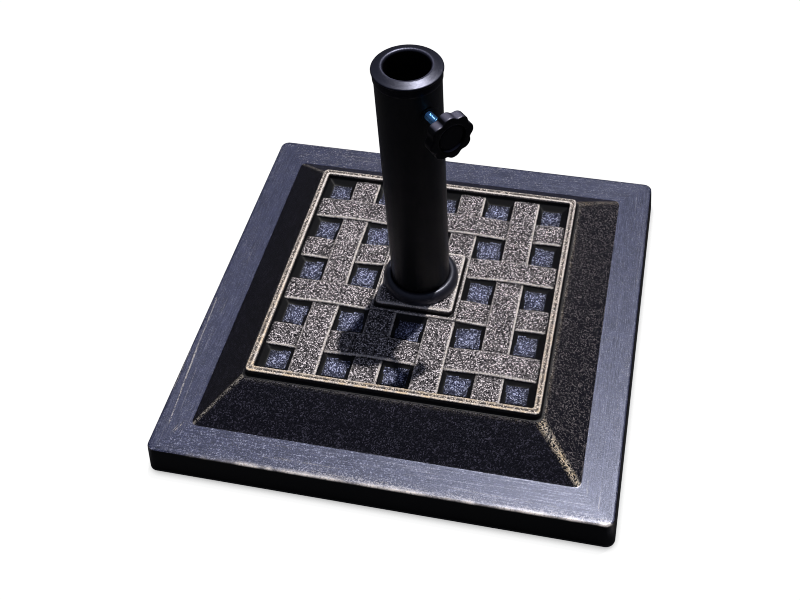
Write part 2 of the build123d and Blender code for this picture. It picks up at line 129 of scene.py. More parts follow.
# ------------------------------------------------------------------ node material helpers
class Nodes:
    def __init__(self, name):
        self.mat = bpy.data.materials.new(name)
        self.mat.use_nodes = True
        self.t = self.mat.node_tree
        self.t.nodes.clear()
        self.out = self.t.nodes.new("ShaderNodeOutputMaterial")
        self.bsdf = self.t.nodes.new("ShaderNodeBsdfPrincipled")
        self.link(self.bsdf.outputs[0], self.out.inputs[0])
        self._mm = None

    def link(self, a, b):
        self.t.links.new(a, b)

    def put(self, socket, value):
        if hasattr(value, "is_linked") or isinstance(value, bpy.types.NodeSocket):
            self.link(value, socket)
        elif isinstance(value, (tuple, list)):
            socket.default_value = tuple(value) if len(value) != 3 or socket.type == "VECTOR" else (*value, 1.0)
        else:
            socket.default_value = value

    def mm(self):
        """Object coordinates in millimetres."""
        if self._mm is None:
            tc = self.t.nodes.new("ShaderNodeTexCoord")
            sc = self.t.nodes.new("ShaderNodeVectorMath")
            sc.operation = "SCALE"
            self.link(tc.outputs["Object"], sc.inputs[0])
            sc.inputs["Scale"].default_value = 1000.0
            self._mm = sc.outputs[0]
        return self._mm

    def attr(self, name, vector=False):
        a = self.t.nodes.new("ShaderNodeAttribute")
        a.attribute_type = "GEOMETRY"
        a.attribute_name = name
        return a.outputs["Vector"] if vector else a.outputs["Fac"]

    def scaled(self, vec, s):
        m = self.t.nodes.new("ShaderNodeVectorMath")
        m.operation = "MULTIPLY"
        self.link(vec, m.inputs[0])
        m.inputs[1].default_value = s
        return m.outputs[0]

    def noise(self, scale, detail=3.0, rough=0.55, vec=None, distortion=0.0, lac=2.0):
        n = self.t.nodes.new("ShaderNodeTexNoise")
        self.link(vec if vec is not None else self.mm(), n.inputs["Vector"])
        n.inputs["Scale"].default_value = scale
        n.inputs["Detail"].default_value = detail
        n.inputs["Roughness"].default_value = rough
        n.inputs["Lacunarity"].default_value = lac
        n.inputs["Distortion"].default_value = distortion
        return n.outputs["Fac"]

    def voronoi(self, scale, vec=None, feature="F1", out="Distance", smooth=None, rnd=1.0, dims="3D"):
        v = self.t.nodes.new("ShaderNodeTexVoronoi")
        v.voronoi_dimensions = dims
        v.feature = feature
        self.link(vec if vec is not None else self.mm(), v.inputs["Vector"])
        v.inputs["Scale"].default_value = scale
        v.inputs["Randomness"].default_value = rnd
        if smooth is not None and "Smoothness" in v.inputs:
            v.inputs["Smoothness"].default_value = smooth
        return v.outputs[out]

    def stroke(self, a, b, wide):
        """1 on the straight line from a to b (mm, seen from above), 0 beyond half its width."""
        length = math.hypot(b[0] - a[0], b[1] - a[1])
        dx, dy = (b[0] - a[0]) / length, (b[1] - a[1]) / length
        p = self.t.nodes.new("ShaderNodeSeparateXYZ")
        self.link(self.mm(), p.inputs[0])
        x, y = self.math("SUBTRACT", p.outputs[0], a[0]), self.math("SUBTRACT", p.outputs[1], a[1])
        t = self.math("ADD", self.math("MULTIPLY", x, dx), self.math("MULTIPLY", y, dy))
        u = self.math("ABSOLUTE", self.math("SUBTRACT", self.math("MULTIPLY", x, dy), self.math("MULTIPLY", y, dx)))
        ends = self.math("MULTIPLY", self.mapr(t, -1.0, 4.0), self.mapr(t, length + 1.0, length - 4.0))
        return self.math("MULTIPLY", self.mapr(u, wide * 0.5, wide * 0.2), ends)

    def cell(self, scale, vec=None, dims="3D", rnd=1.0):
        """A random value per cell of the same cells that voronoi() at this scale draws."""
        v = self.t.nodes.new("ShaderNodeTexVoronoi")
        v.voronoi_dimensions = dims
        v.feature = "F1"
        self.link(vec if vec is not None else self.mm(), v.inputs["Vector"])
        v.inputs["Scale"].default_value = scale
        v.inputs["Randomness"].default_value = rnd
        sp = self.t.nodes.new("ShaderNodeSeparateColor")
        self.link(v.outputs["Color"], sp.inputs[0])
        return sp.outputs[0]

    def math(self, op, a, b=None, c=None, clamp=False):
        m = self.t.nodes.new("ShaderNodeMath")
        m.operation = op
        m.use_clamp = clamp
        self.put(m.inputs[0], a)
        if b is not None:
            self.put(m.inputs[1], b)
        if c is not None:
            self.put(m.inputs[2], c)
        return m.outputs[0]

    def mapr(self, v, a, b, c=0.0, d=1.0, smooth=False):
        m = self.t.nodes.new("ShaderNodeMapRange")
        m.interpolation_type = "SMOOTHSTEP" if smooth else "LINEAR"
        self.put(m.inputs["Value"], v)
        m.inputs["From Min"].default_value = a
        m.inputs["From Max"].default_value = b
        m.inputs["To Min"].default_value = c
        m.inputs["To Max"].default_value = d
        return m.outputs["Result"]

    def mix(self, fac, a, b):
        m = self.t.nodes.new("ShaderNodeMix")
        m.data_type = "RGBA"
        self.put(m.inputs[0], fac)
        self.put(m.inputs[6], a)
        self.put(m.inputs[7], b)
        return m.outputs[2]

    def mixf(self, fac, a, b):
        m = self.t.nodes.new("ShaderNodeMix")
        m.data_type = "FLOAT"
        self.put(m.inputs[0], fac)
        self.put(m.inputs[2], a)
        self.put(m.inputs[3], b)
        return m.outputs[0]

    def bump(self, height, dist_mm, strength=1.0, normal=None):
        b = self.t.nodes.new("ShaderNodeBump")
        self.put(b.inputs["Height"], height)
        b.inputs["Distance"].default_value = dist_mm * MM
        b.inputs["Strength"].default_value = strength
        if normal is not None:
            self.link(normal, b.inputs["Normal"])
        return b.outputs[0]

    def set(self, **kw):
        names = {"color": "Base Color", "rough": "Roughness", "metal": "Metallic", "normal": "Normal", "spec": "Specular IOR Level",
                 "tint": "Specular Tint", "coat": "Coat Weight", "coat_rough": "Coat Roughness", "aniso": "Anisotropic", "sheen": "Sheen Weight"}
        for k, v in kw.items():
            self.put(self.bsdf.inputs[names[k]], v)
        return self.mat


# ------------------------------------------------------------------ materials
def mat_shell():
    """Near-black moulded resin, dry-brushed: slate rim with brushed streaks, tan-flecked skirt, champagne bars and strips."""
    n = Nodes("bronzed_resin")
    rim, skirt, strip, floor, bar = (n.attr(k) for k in ("z_rim", "z_skirt", "z_strip", "z_floor", "z_bar"))
    wear_and_highlight, unbrushed_and_shade, lip = n.attr("wear_and_highlight"), n.attr("recess_unbrushed_and_shaded"), n.attr("lip")
    grain = n.attr("grain", vector=True)
    fine = n.noise(0.62, 2.0, 0.62)
    fine2 = n.noise(1.25, 1.0, 0.5)
    mid = n.noise(0.11, 3.0, 0.6)
    big = n.noise(0.018, 2.0, 0.5)
    streak = n.noise(1.0, 4.0, 0.65, vec=n.scaled(grain, (0.014, 0.62, 1.0)))
    streak2 = n.noise(1.0, 3.0, 0.6, vec=n.scaled(grain, (0.05, 1.5, 1.0)))
    scratch = n.noise(1.0, 2.0, 0.5, vec=n.scaled(grain, (0.007, 0.42, 1.0)))
    patch = n.noise(1.0, 2.0, 0.5, vec=n.scaled(grain, (0.012, 0.05, 1.0)))
    peb = n.voronoi(1.02, dims="2D", rnd=0.85)
    cell = n.cell(1.02, dims="2D", rnd=0.85)
    bright = n.mapr(cell, 0.72, 0.88)
    dark = n.mapr(cell, 0.36, 0.16)
    gap = n.mapr(peb, 0.42, 0.68, 1.0, 0.10)
    rimcell = n.cell(1.02, dims="2D", rnd=0.85)
    weave = n.noise(1.0, 2.0, 0.55, vec=n.scaled(grain, (0.62, 0.62, 1.0)))

    black = (0.0036, 0.0035, 0.0045)
    cream = (0.98, 0.86, 0.76)
    silver = (0.80, 0.77, 0.78)
    # rim: slate blue, mottled, with brushed streaks, long scratches and fine light flecks
    rim_base = n.mix(n.mapr(mid, 0.35, 0.68), (0.0150, 0.0170, 0.043), (0.027, 0.030, 0.072))
    rim_col = n.mix(n.mapr(streak, 0.52, 0.66, 0.0, 0.50), rim_base, (0.085, 0.092, 0.165))
    rim_col = n.mix(n.mapr(streak2, 0.47, 0.34, 0.0, 0.7), rim_col, (0.010, 0.011, 0.026))
    line = n.math("MULTIPLY", n.mapr(scratch, 0.66, 0.71), n.math("MULTIPLY", n.mapr(fine, 0.36, 0.60), n.mapr(patch, 0.45, 0.62)))
    dash = n.mapr(n.math("ADD", n.math("MULTIPLY", fine, 0.6), n.math("MULTIPLY", cell, 0.4)), 0.34, 0.56)
    for a, b, wide, much in (((-214.2, -30.0), (-211.6, -112.0), 1.5, 0.7), ((-211.9, -92.0), (-209.0, -150.0), 2.0, 1.0), ((-209.2, -140.0), (-206.6, -188.0), 1.6, 0.8),
                             ((-217.6, -96.0), (-216.9, -150.0), 1.3, 0.5), ((-203.5, -120.0), (-201.0, -172.0), 1.0, 0.3), ((-193.0, -184.0), (-199.4, -197.0), 1.5, 0.8),
                             ((-196.6, -186.0), (-201.0, -196.5), 1.2, 0.55), ((-190.5, -190.0), (-192.6, -198.0), 0.9, 0.4), ((-60.0, -213.0), (58.0, -214.6), 1.2, 0.5),
                             ((70.0, -206.5), (170.0, -208.0), 1.1, 0.4), ((-150.0, 205.5), (-88.0, 207.0), 1.2, 0.5)):
        line = n.math("MAXIMUM", line, n.math("MULTIPLY", n.math("MULTIPLY", n.stroke(a, b, wide), much), dash))
    rim_col = n.mix(n.math("MULTIPLY", line, 0.85), rim_col, (0.52, 0.48, 0.44))
    place = n.t.nodes.new("ShaderNodeSeparateXYZ")
    n.link(n.mm(), place.inputs[0])
    back = n.math("MULTIPLY", n.mapr(n.math("SUBTRACT", place.outputs[1], n.math("ABSOLUTE", place.outputs[0])), -4.0, 8.0), n.mapr(place.outputs[0], 120.0, -150.0, 0.35, 1.0))
    front = n.mapr(n.math("ADD", place.outputs[1], n.math("ABSOLUTE", place.outputs[0])), 6.0, -6.0)
    dots = n.math("MULTIPLY", n.mapr(fine2, 0.66, 0.74), n.mapr(patch, 0.38, 0.60, 0.15, 1.0))
    dots = n.math("MAXIMUM", dots, n.math("MULTIPLY", n.mapr(rimcell, 0.80, 0.96), n.math("MULTIPLY", back, n.mapr(streak2, 0.42, 0.58))))
    rim_col = n.mix(n.math("MULTIPLY", dots, 0.6), rim_col, (0.55, 0.52, 0.50))
    grainy = n.math("ADD", 0.25, n.math("MULTIPLY", front, n.mapr(place.outputs[0], 110.0, -40.0, 0.10, 0.75)), clamp=True)
    rim_col = n.mix(n.math("MULTIPLY", n.math("MULTIPLY", n.mapr(rimcell, 0.55, 0.95), grainy), n.mapr(streak2, 0.42, 0.60, 0.08, 0.75)), rim_col, (0.17, 0.18, 0.31))
    rim_col = n.mix(n.math("MULTIPLY", n.mapr(rimcell, 0.40, 0.10, 0.0, 0.80), n.math("MULTIPLY", grainy, n.mapr(streak2, 0.58, 0.42, 0.4, 1.0))), rim_col, (0.008, 0.009, 0.020))
    spark = n.math("MULTIPLY", n.mapr(rimcell, 0.84, 0.94), n.math("MULTIPLY", n.mapr(streak2, 0.44, 0.56, 0.15, 1.0), grainy))
    rim_col = n.mix(n.math("MULTIPLY", spark, 0.55), rim_col, (0.42, 0.43, 0.54))
    lipn = n.math("MULTIPLY", lip, n.math("MULTIPLY", n.mapr(n.math("ADD", n.math("MULTIPLY", cell, 0.7), n.math("MULTIPLY", fine2, 0.3)), 0.50, 0.66), n.mapr(patch, 0.36, 0.60, 0.25, 1.0)), clamp=True)
    rim_col = n.mix(n.math("MULTIPLY", lipn, 0.7), rim_col, (0.58, 0.54, 0.50))
    # painted highlight: lighter streaks along the rim's front, growing towards the right
    gleam = n.math("MULTIPLY", n.math("MULTIPLY", n.mapr(streak, 0.54, 0.66), n.mapr(rimcell, 0.35, 0.80, 0.25, 1.0)), n.math("MULTIPLY", front, n.mapr(place.outputs[0], -170.0, 120.0)), clamp=True)
    rim_col = n.mix(n.math("MULTIPLY", gleam, 0.60), rim_col, (0.46, 0.45, 0.50))
    # skirt: black-brown, tan flecks on the tops of the grain; painted light: fewer flecks on the shaded left, more and
    # lighter, warmer flecks on the sunlit right
    fleck = n.math("MULTIPLY", n.mapr(cell, 0.60, 0.98), n.math("MULTIPLY", gap, n.mapr(mid, 0.36, 0.62, 0.35, 1.0)))
    sunlit_right = n.mapr(n.math("SUBTRACT", place.outputs[0], n.math("ABSOLUTE", place.outputs[1])), -3.0, 4.0)
    shaded_left = n.mapr(n.math("ADD", place.outputs[0], n.math("ABSOLUTE", place.outputs[1])), 3.0, -4.0)
    amount = n.math("SUBTRACT", n.math("ADD", 0.85, n.math("MULTIPLY", sunlit_right, 0.45)), n.math("MULTIPLY", shaded_left, 0.50))
    skirt_col = n.mix(n.math("MULTIPLY", fleck, amount, clamp=True), n.mix(shaded_left, (0.0038, 0.0038, 0.0080), (0.0042, 0.0038, 0.0047)), n.mix(sunlit_right, (0.088, 0.083, 0.122), (0.20, 0.178, 0.183)))
    # strips, pad: taupe grain with cream speckle
    sp = n.math("SUBTRACT", n.math("ADD", n.mapr(mid, 0.3, 0.7, 0.10, 0.19), n.math("MULTIPLY", bright, 0.92)), n.math("MULTIPLY", dark, 0.16))
    sp = n.math("MULTIPLY", sp, gap, clamp=True)
    strip_col = n.mix(sp, (0.005, 0.0046, 0.007), (0.98, 0.885, 0.93))
    strip_col = n.mix(n.math("MULTIPLY", n.mapr(streak2, 0.56, 0.72), 0.10), strip_col, silver)
    # pocket floors: blue-slate speckle
    floor_col = n.mix(sp, (0.018, 0.021, 0.048), (0.56, 0.60, 0.90))
    # frame bar: champagne over dark
    bar_col = n.mix(sp, (0.022, 0.019, 0.021), (0.86, 0.73, 0.63))
    col = n.mix(rim, black, rim_col)
    col = n.mix(skirt, col, skirt_col)
    col = n.mix(strip, col, strip_col)
    col = n.mix(floor, col, floor_col)
    col = n.mix(bar, col, bar_col)
    # rubbed edges, with a painted highlight on the strips' front and right edges, broken up by the grain
    solid = n.mapr(n.math("ADD", n.math("MULTIPLY", fine, 0.65), n.math("MULTIPLY", mid, 0.35)), 0.36, 0.50, 0.25, 1.0)
    dotted = n.math("MULTIPLY", n.mapr(cell, 0.26, 0.50), gap)
    edge = n.math("MULTIPLY", wear_and_highlight, n.mixf(skirt, solid, dotted), clamp=True)
    rub_and_highlight = n.mix(n.mapr(fine2, 0.4, 0.6), cream, silver)
    rub_and_highlight = n.mix(bar, rub_and_highlight, n.mix(n.math("MULTIPLY", n.mapr(mid, 0.38, 0.60), n.mapr(place.outputs[1], 60.0, -130.0)), (0.98, 0.89, 0.84), (0.98, 0.77, 0.54)))
    rub_and_highlight = n.mix(skirt, rub_and_highlight, n.mix(n.math("MULTIPLY", n.mapr(mid, 0.36, 0.62), n.mapr(place.outputs[0], -40.0, 60.0, 0.15, 0.9)), (0.95, 0.86, 0.76), (1.0, 0.78, 0.50)))
    col = n.mix(edge, col, rub_and_highlight)
    # the dry-brushing doesn't reach into the corners, and painted shade darkens them as well
    col = n.mix(n.math("MULTIPLY", unbrushed_and_shade, n.mapr(fine, 0.30, 0.70, 1.0, 0.75), clamp=True), col, black)
    any_grain = n.math("ADD", n.math("ADD", strip, bar), n.math("ADD", skirt, floor), clamp=True)
    rough = n.mixf(any_grain, 0.50, 0.40)
    rough = n.mixf(rim, rough, n.mapr(streak2, 0.35, 0.65, 0.31, 0.40))
    rough = n.mixf(edge, rough, 0.36)
    metal = n.math("MULTIPLY", edge, 0.12, clamp=True)
    painted = n.math("ADD", n.math("ADD", strip, bar), floor, clamp=True)
    spec = n.mixf(painted, n.mixf(rim, 0.22, n.math("MULTIPLY", n.mapr(rimcell, 0.15, 0.90, 0.86, 1.0), n.mapr(streak2, 0.38, 0.60, 0.76, 1.16))), n.mapr(sp, 0.05, 0.6, 0.10, 0.75))
    rough = n.mixf(painted, rough, n.mapr(sp, 0.05, 0.6, 0.62, 0.38))
    # relief: pebbled grain where painted, fine brush marks on the rim, smooth elsewhere
    h1 = n.math("MULTIPLY", n.math("SUBTRACT", 1.0, peb), any_grain)
    h2 = n.math("MULTIPLY", n.math("ADD", n.math("MULTIPLY", streak2, 0.35), n.math("MULTIPLY", fine2, 0.16)), rim)
    h3 = n.math("MULTIPLY", fine2, 0.10)
    h = n.math("ADD", n.math("ADD", h1, h2), h3)
    nb = n.bump(h, 0.36, 1.0)
    nb = n.bump(big, 1.2, 0.2, normal=nb)
    # the rim's bluish specular tint is a painted reflection of a blue sky
    return n.set(color=col, rough=rough, metal=metal, normal=nb, spec=spec, tint=n.mix(rim, (1.0, 1.0, 1.0), (0.70, 0.75, 1.0)), coat=n.math("MULTIPLY", rim, 0.26), coat_rough=0.28)


def mat_tube():
    n = Nodes("black_powder_coat")
    peel = n.noise(0.7, 3.0, 0.5)
    long = n.noise(1.0, 3.0, 0.6, vec=n.scaled(n.mm(), (0.25, 0.25, 0.012)))
    dust = n.noise(0.06, 4.0, 0.65)
    col = n.mix(n.mapr(dust, 0.45, 0.75, 0.0, 0.35), (0.0065, 0.0065, 0.0075), (0.016, 0.0155, 0.018))
    rough = n.math("ADD", n.mapr(peel, 0.35, 0.65, 0.34, 0.42), n.mapr(long, 0.4, 0.65, 0.0, 0.08))
    nb = n.bump(peel, 0.10, 0.55)
    return n.set(color=col, rough=rough, normal=nb, spec=0.19)


def mat_plastic(name, c=(0.009, 0.009, 0.011), rough=(0.26, 0.40), grain=0.06, scuff=0.25, spec=0.5, tint=(1.0, 1.0, 1.0), up=None, side_spec=0.2, ring=None, lit_from=(0.20, 0.75)):
    """up: colour painted on the faces that look up, a painted highlight where sun and sky fall on them; ring: radius of
    a painted highlight line round the upright axis.
    """
    n = Nodes(name)
    fine = n.noise(1.6, 2.0, 0.5)
    scr = n.noise(0.35, 5.0, 0.7, distortion=1.5)
    cell = n.cell(1.15)
    col = n.mix(n.mapr(scr, 0.52, 0.72, 0.0, scuff), c, tuple(x * 3.0 + 0.004 for x in c))
    col = n.mix(n.mapr(cell, 0.80, 1.0, 0.0, scuff), col, tuple(x * 4.0 + 0.006 for x in c))
    r = n.mapr(n.math("ADD", n.math("MULTIPLY", fine, 0.5), n.math("MULTIPLY", scr, 0.5)), 0.35, 0.65, rough[0], rough[1])
    # painted highlight: faces that look up are lightened towards the up colour and get the full specular, while the
    # sides keep side_spec
    if up is not None:
        g = n.t.nodes.new("ShaderNodeNewGeometry")
        sep = n.t.nodes.new("ShaderNodeSeparateXYZ")
        n.link(g.outputs["Normal"], sep.inputs[0])
        facing_up_light = n.mapr(sep.outputs[2], lit_from[0], lit_from[1])
        col = n.mix(n.math("MULTIPLY", facing_up_light, n.mapr(scr, 0.3, 0.7, 0.8, 1.0)), col, up)
        spec = n.mixf(facing_up_light, side_spec, spec)
    # painted highlight: a thin lighter line at this radius, standing in for the glint on the bore's rounded lip
    if ring is not None:
        at = n.t.nodes.new("ShaderNodeSeparateXYZ")
        n.link(n.mm(), at.inputs[0])
        rr = n.math("SQRT", n.math("ADD", n.math("MULTIPLY", at.outputs[0], at.outputs[0]), n.math("MULTIPLY", at.outputs[1], at.outputs[1])))
        line = n.mapr(n.math("ABSOLUTE", n.math("SUBTRACT", rr, ring)), 0.9, 0.2)
        col = n.mix(n.math("MULTIPLY", line, n.mapr(scr, 0.35, 0.6, 0.5, 1.0)), col, (0.075, 0.075, 0.115))
    return n.set(color=col, rough=r, normal=n.bump(n.math("ADD", fine, n.math("MULTIPLY", cell, 0.4)), grain, 0.6), spec=spec, tint=(*tint, 1.0))


def mat_zinc(name="zinc_plate", tint=(0.62, 0.70, 0.80), rough=0.24):
    n = Nodes(name)
    a = n.noise(0.8, 4.0, 0.6)
    b = n.noise(3.0, 2.0, 0.5)
    col = n.mix(n.mapr(a, 0.35, 0.7), tint, tuple(min(1.0, x * 1.15 + 0.05) for x in tint))
    col = n.mix(n.mapr(b, 0.60, 0.75, 0.0, 0.4), col, (0.35, 0.36, 0.38))
    return n.set(color=col, rough=n.mapr(a, 0.3, 0.7, rough, rough + 0.16), metal=1.0, normal=n.bump(b, 0.04, 0.5))


def mat_cement():
    n = Nodes("cast_cement")
    a = n.noise(0.05, 5.0, 0.65)
    b = n.noise(0.9, 3.0, 0.6)
    v = n.voronoi(0.16)
    col = n.mix(n.mapr(a, 0.3, 0.7), (0.34, 0.33, 0.30), (0.52, 0.51, 0.48))
    col = n.mix(n.mapr(v, 0.0, 0.25, 0.6, 0.0), col, (0.20, 0.19, 0.18))
    return n.set(color=col, rough=n.mapr(b, 0.3, 0.7, 0.82, 0.95), normal=n.bump(n.math("ADD", b, v), 0.5, 0.7), spec=0.2)


def mat_rubber():
    n = Nodes("foot_rubber")
    a = n.noise(1.2, 3.0, 0.6)
    b = n.noise(0.08, 3.0, 0.6)
    col = n.mix(n.mapr(b, 0.4, 0.7), (0.012, 0.012, 0.012), (0.030, 0.029, 0.028))
    return n.set(color=col, rough=n.mapr(a, 0.3, 0.7, 0.72, 0.88), normal=n.bump(a, 0.08, 0.7), spec=0.3)


def mat_nylon():
    n = Nodes("natural_nylon")
    a = n.noise(0.9, 3.0, 0.6)
    col = n.mix(n.mapr(a, 0.35, 0.65), (0.70, 0.69, 0.62), (0.80, 0.79, 0.74))
    return n.set(color=col, rough=n.mapr(a, 0.3, 0.7, 0.38, 0.5), normal=n.bump(a, 0.05, 0.5))


def mat_plate():
    n = Nodes("black_plate")
    a = n.noise(1.1, 3.0, 0.6)
    b = n.noise(0.03, 4.0, 0.6)
    v = n.voronoi(0.9)
    col = n.mix(n.mapr(b, 0.4, 0.7), (0.014, 0.014, 0.015), (0.034, 0.033, 0.032))
    return n.set(color=col, rough=n.mapr(a, 0.3, 0.7, 0.5, 0.66), normal=n.bump(n.math("ADD", a, v), 0.12, 0.7), spec=0.4)


M_SHELL = mat_shell()
M_TUBE = mat_tube()
# the bluish specular tints are a painted reflection of a blue sky; the cap's and knob's up colours are painted
# highlights on their upward faces
M_CAP = mat_plastic("cap_plastic", c=(0.0035, 0.0034, 0.0055), rough=(0.33, 0.42), grain=0.09, spec=0.95, tint=(0.74, 0.76, 1.0), up=(0.0046, 0.0046, 0.0095), side_spec=0.12, ring=21.6)
M_COLLAR = mat_plastic("collar_plastic", c=(0.0075, 0.0075, 0.0125), rough=(0.34, 0.44), spec=0.85, tint=(0.82, 0.84, 1.0))
M_KNOB = mat_plastic("knob_plastic", c=(0.0026, 0.0026, 0.0032), rough=(0.36, 0.46), grain=0.07, spec=1.0, tint=(0.88, 0.85, 1.0), up=(0.082, 0.080, 0.122), side_spec=0.13, lit_from=(0.70, 0.94))
M_CUP = mat_plastic("cup_plastic", c=(0.016, 0.016, 0.018), rough=(0.42, 0.56))
M_ZINC = mat_zinc()
M_SCREW = mat_zinc("blue_zinc", tint=(0.17, 0.48, 0.96), rough=0.24)
M_CEMENT = mat_cement()
M_RUBBER = mat_rubber()
M_NYLON = mat_nylon()
M_PLATE = mat_plate()

for node, mat in {
    "ballast_block": M_CEMENT, "bottom_plate": M_PLATE, "access_plug": M_PLATE, "bottom_plate_screws": M_ZINC,
    "anchor_plate": M_ZINC, "hold_down_washer": M_ZINC, "spring_washer": M_ZINC, "hold_down_bolt": M_ZINC,
    "tube_end_disc": M_TUBE, "tube_end_nut": M_ZINC, "pole_seat_cup": M_CUP, "thrust_tip": M_NYLON,
    "foot_pad_front_left": M_RUBBER, "foot_pad_front_right": M_RUBBER, "foot_pad_rear_left": M_RUBBER, "foot_pad_rear_right": M_RUBBER,
    "stem_tube": M_TUBE, "flange_collar": M_COLLAR, "top_cap": M_CAP, "clamp_insert": M_TUBE, "clamp_screw": M_SCREW,
    "clamp_knob": M_KNOB, "knob_cap": M_KNOB, "top_shell": M_SHELL,
}.items():
    o = frame["nodes"][node]
    o.data.materials.clear()
    o.data.materials.append(mat)


# ------------------------------------------------------------------ the moulded shell
def b_mm(node):
    a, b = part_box(node)
    return np.array(a) / MM, np.array(b) / MM


shell_lo, shell_hi = b_mm("top_shell")
PITCH, HALF_W = 58.7, 13.9
CENTRES = np.array([-1.5, -0.5, 0.5, 1.5]) * PITCH
FLOOR, MEAN, AMP = 64.0, 69.1, 1.3
BORDER = 133.2
HOLE = 41.6
PLINTH_HALF, PLINTH_Z = 42.9, 70.2
PAD_HALF, PAD_Z = 38.6, float(shell_hi[2])
X_OVER = np.array([[0, 1, 0, 1], [1, 0, 1, 0], [0, 1, 0, 1], [1, 0, 1, 0]], bool)

# drop below a strip's top against distance from its centre line
STRIP_U = np.array([0, 9.0, 11.6, 12.4, 12.9, 13.3, 13.65, 13.85, 14.1, 19.4, 400])
STRIP_D = np.array([0, 0.05, 0.15, 0.28, 0.48, 0.78, 1.30, 1.90, 2.60, 6.4, 6.5])


def strip_height(along, k_row, over_row):
    """Height of a strip's centre line; over_row[k] says where it lies on top."""
    s = 1.0 if over_row[0] else -1.0
    h = MEAN + AMP * s * np.cos(np.pi * (along - CENTRES[0]) / PITCH)
    tail = np.clip((np.abs(along) - CENTRES[3] - 14.5) / 30.0, 0, 1)
    h = h * (1 - tail) + (MEAN + 0.1) * tail
    h = h - 1.5 * np.clip((np.abs(along) - 128.2) / 5.0, 0, 1) ** 2
    return h


def panel_height(x, y):
    z = np.full_like(x, FLOOR)
    who = np.zeros(x.shape, int)          # 0 floor, 1 x-running strip, 2 y-running strip, 3 frame wall, 4 plinth
    drop = np.full_like(x, 9.0)
    for i, c in enumerate(CENTRES):
        u = np.abs(y - c)
        d = np.interp(u, STRIP_U, STRIP_D)
        h = strip_height(x, i, X_OVER[i]) - d
        m = (h > z) & (d < 6.4)
        z, who, drop = np.where(m, h, z), np.where(m, 1, who), np.where(m, d, drop)
    for j, c in enumerate(CENTRES):
        u = np.abs(x - c)
        d = np.interp(u, STRIP_U, STRIP_D)
        h = strip_height(y, j, ~X_OVER[:, j]) - d
        m = (h > z) & (d < 6.4)
        z, who, drop = np.where(m, h, z), np.where(m, 2, who), np.where(m, d, drop)
    e = np.maximum(np.abs(x), np.abs(y))
    fw = np.interp(e, [0, 126.0, 132.4, BORDER], [0, FLOOR, 68.6, 70.0])
    m = fw > z
    z, who, drop = np.where(m, fw, z), np.where(m, 3, who), np.where(m, 9.0, drop)
    pl = np.interp(e, [0, PLINTH_HALF - 0.9, PLINTH_HALF - 0.25, PLINTH_HALF, PLINTH_HALF + 0.25, PLINTH_HALF + 5.6, 400],
                   [PLINTH_Z, PLINTH_Z, PLINTH_Z - 0.2, PLINTH_Z - 0.8, PLINTH_Z - 1.6, FLOOR, 0])
    m = pl > z
    z, who = np.where(m, pl, z), np.where(m, 4, who)
    drop = np.where(m, PLINTH_Z - pl, drop)
    return z, who, drop


def covered(x, y, who):
    """How closely a point on a lower strip lies to the strip that crosses over it, 0 to 1."""
    out = 0.0
    if who == 1:
        i = int(np.argmin(np.abs(CENTRES - y)))
        for j, c in enumerate(CENTRES):
            if not X_OVER[i, j]:
                out = max(out, math.exp(-max(abs(x - c) - HALF_W, 0.0) / 2.1))
    elif who == 2:
        j = int(np.argmin(np.abs(CENTRES - x)))
        for i, c in enumerate(CENTRES):
            if X_OVER[i, j]:
                out = max(out, math.exp(-max(abs(y - c) - HALF_W, 0.0) / 2.1))
    return out


def recess_unbrushed_and_shaded(x, y, z, who):
    """Where the dry-brushing doesn't reach and painted shade falls: the foot of a step, the rim of a pocket's floor,
    beside the frame.
    """
    e = max(abs(x), abs(y))
    c = 0.0
    if who in (1, 2):
        c = max(covered(x, y, who), math.exp(-max(BORDER - 1.0 - e, 0.0) / 1.6), math.exp(-max(e - PLINTH_HALF - 0.3, 0.0) / 1.4) if e > PLINTH_HALF else 0.0)
    elif who == 0:
        dx = float(np.min(np.abs(np.abs(x - CENTRES) - 19.4)))
        dy = float(np.min(np.abs(np.abs(y - CENTRES) - 19.4)))
        c = 0.75 * math.exp(-min(dx, dy, abs(126.0 - e)) / 1.3)
    elif who == 3:
        c = 1.0
    return c


offs = [0, 4.5, 8.2, 10.4, 11.6, 12.4, 12.9, 13.3, 13.65, 13.85, 14.1, 15.2, 16.8, 18.2, 19.4, 22.6, 26.0, 29.35]
lines = set()
for c in CENTRES:
    for o_ in offs:
        for s in (-1, 1):
            v = round(float(c + s * o_), 3)
            if abs(v) < 125.5:
                lines.add(v)
for v in (126.0, 127.6, 129.2, 130.4, 131.5, 132.4, 132.8, BORDER, HOLE, PLINTH_HALF - 0.9, PLINTH_HALF - 0.25, PLINTH_HALF, PLINTH_HALF + 0.25, 45.5, 48.5):
    lines.add(round(v, 3)); lines.add(round(-v, 3))
# grid lines are mirrored about the middle so that the rings around the panel meet them on all four sides
fixed = (HOLE, BORDER, PLINTH_HALF)
pos = sorted({round(abs(v), 3) for v in lines if abs(v) > 0.05})
keep = []
for v in pos:
    if keep and v - keep[-1] < 0.11:
        if any(abs(v - f) < 1e-6 for f in fixed):
            keep[-1] = v
        continue
    keep.append(v)
T = np.array([-v for v in keep[::-1]] + [0.0] + keep)
nT = len(T)

V, F = [], []           # verts, faces
face_zone, face_dir = [], []   # zone names, grain direction: 0 along x, 1 along y, 2 by side
gx, gy = np.meshgrid(T, T, indexing="ij")
gz, gwho, gdrop = panel_height(gx, gy)
grid_index = -np.ones((nT, nT), int)
inside_hole = (np.abs(gx) < HOLE - 1e-6) & (np.abs(gy) < HOLE - 1e-6)
cnt = 0
wear_and_highlight_list = []
unbrushed_and_shade_list, lip_list = [], []


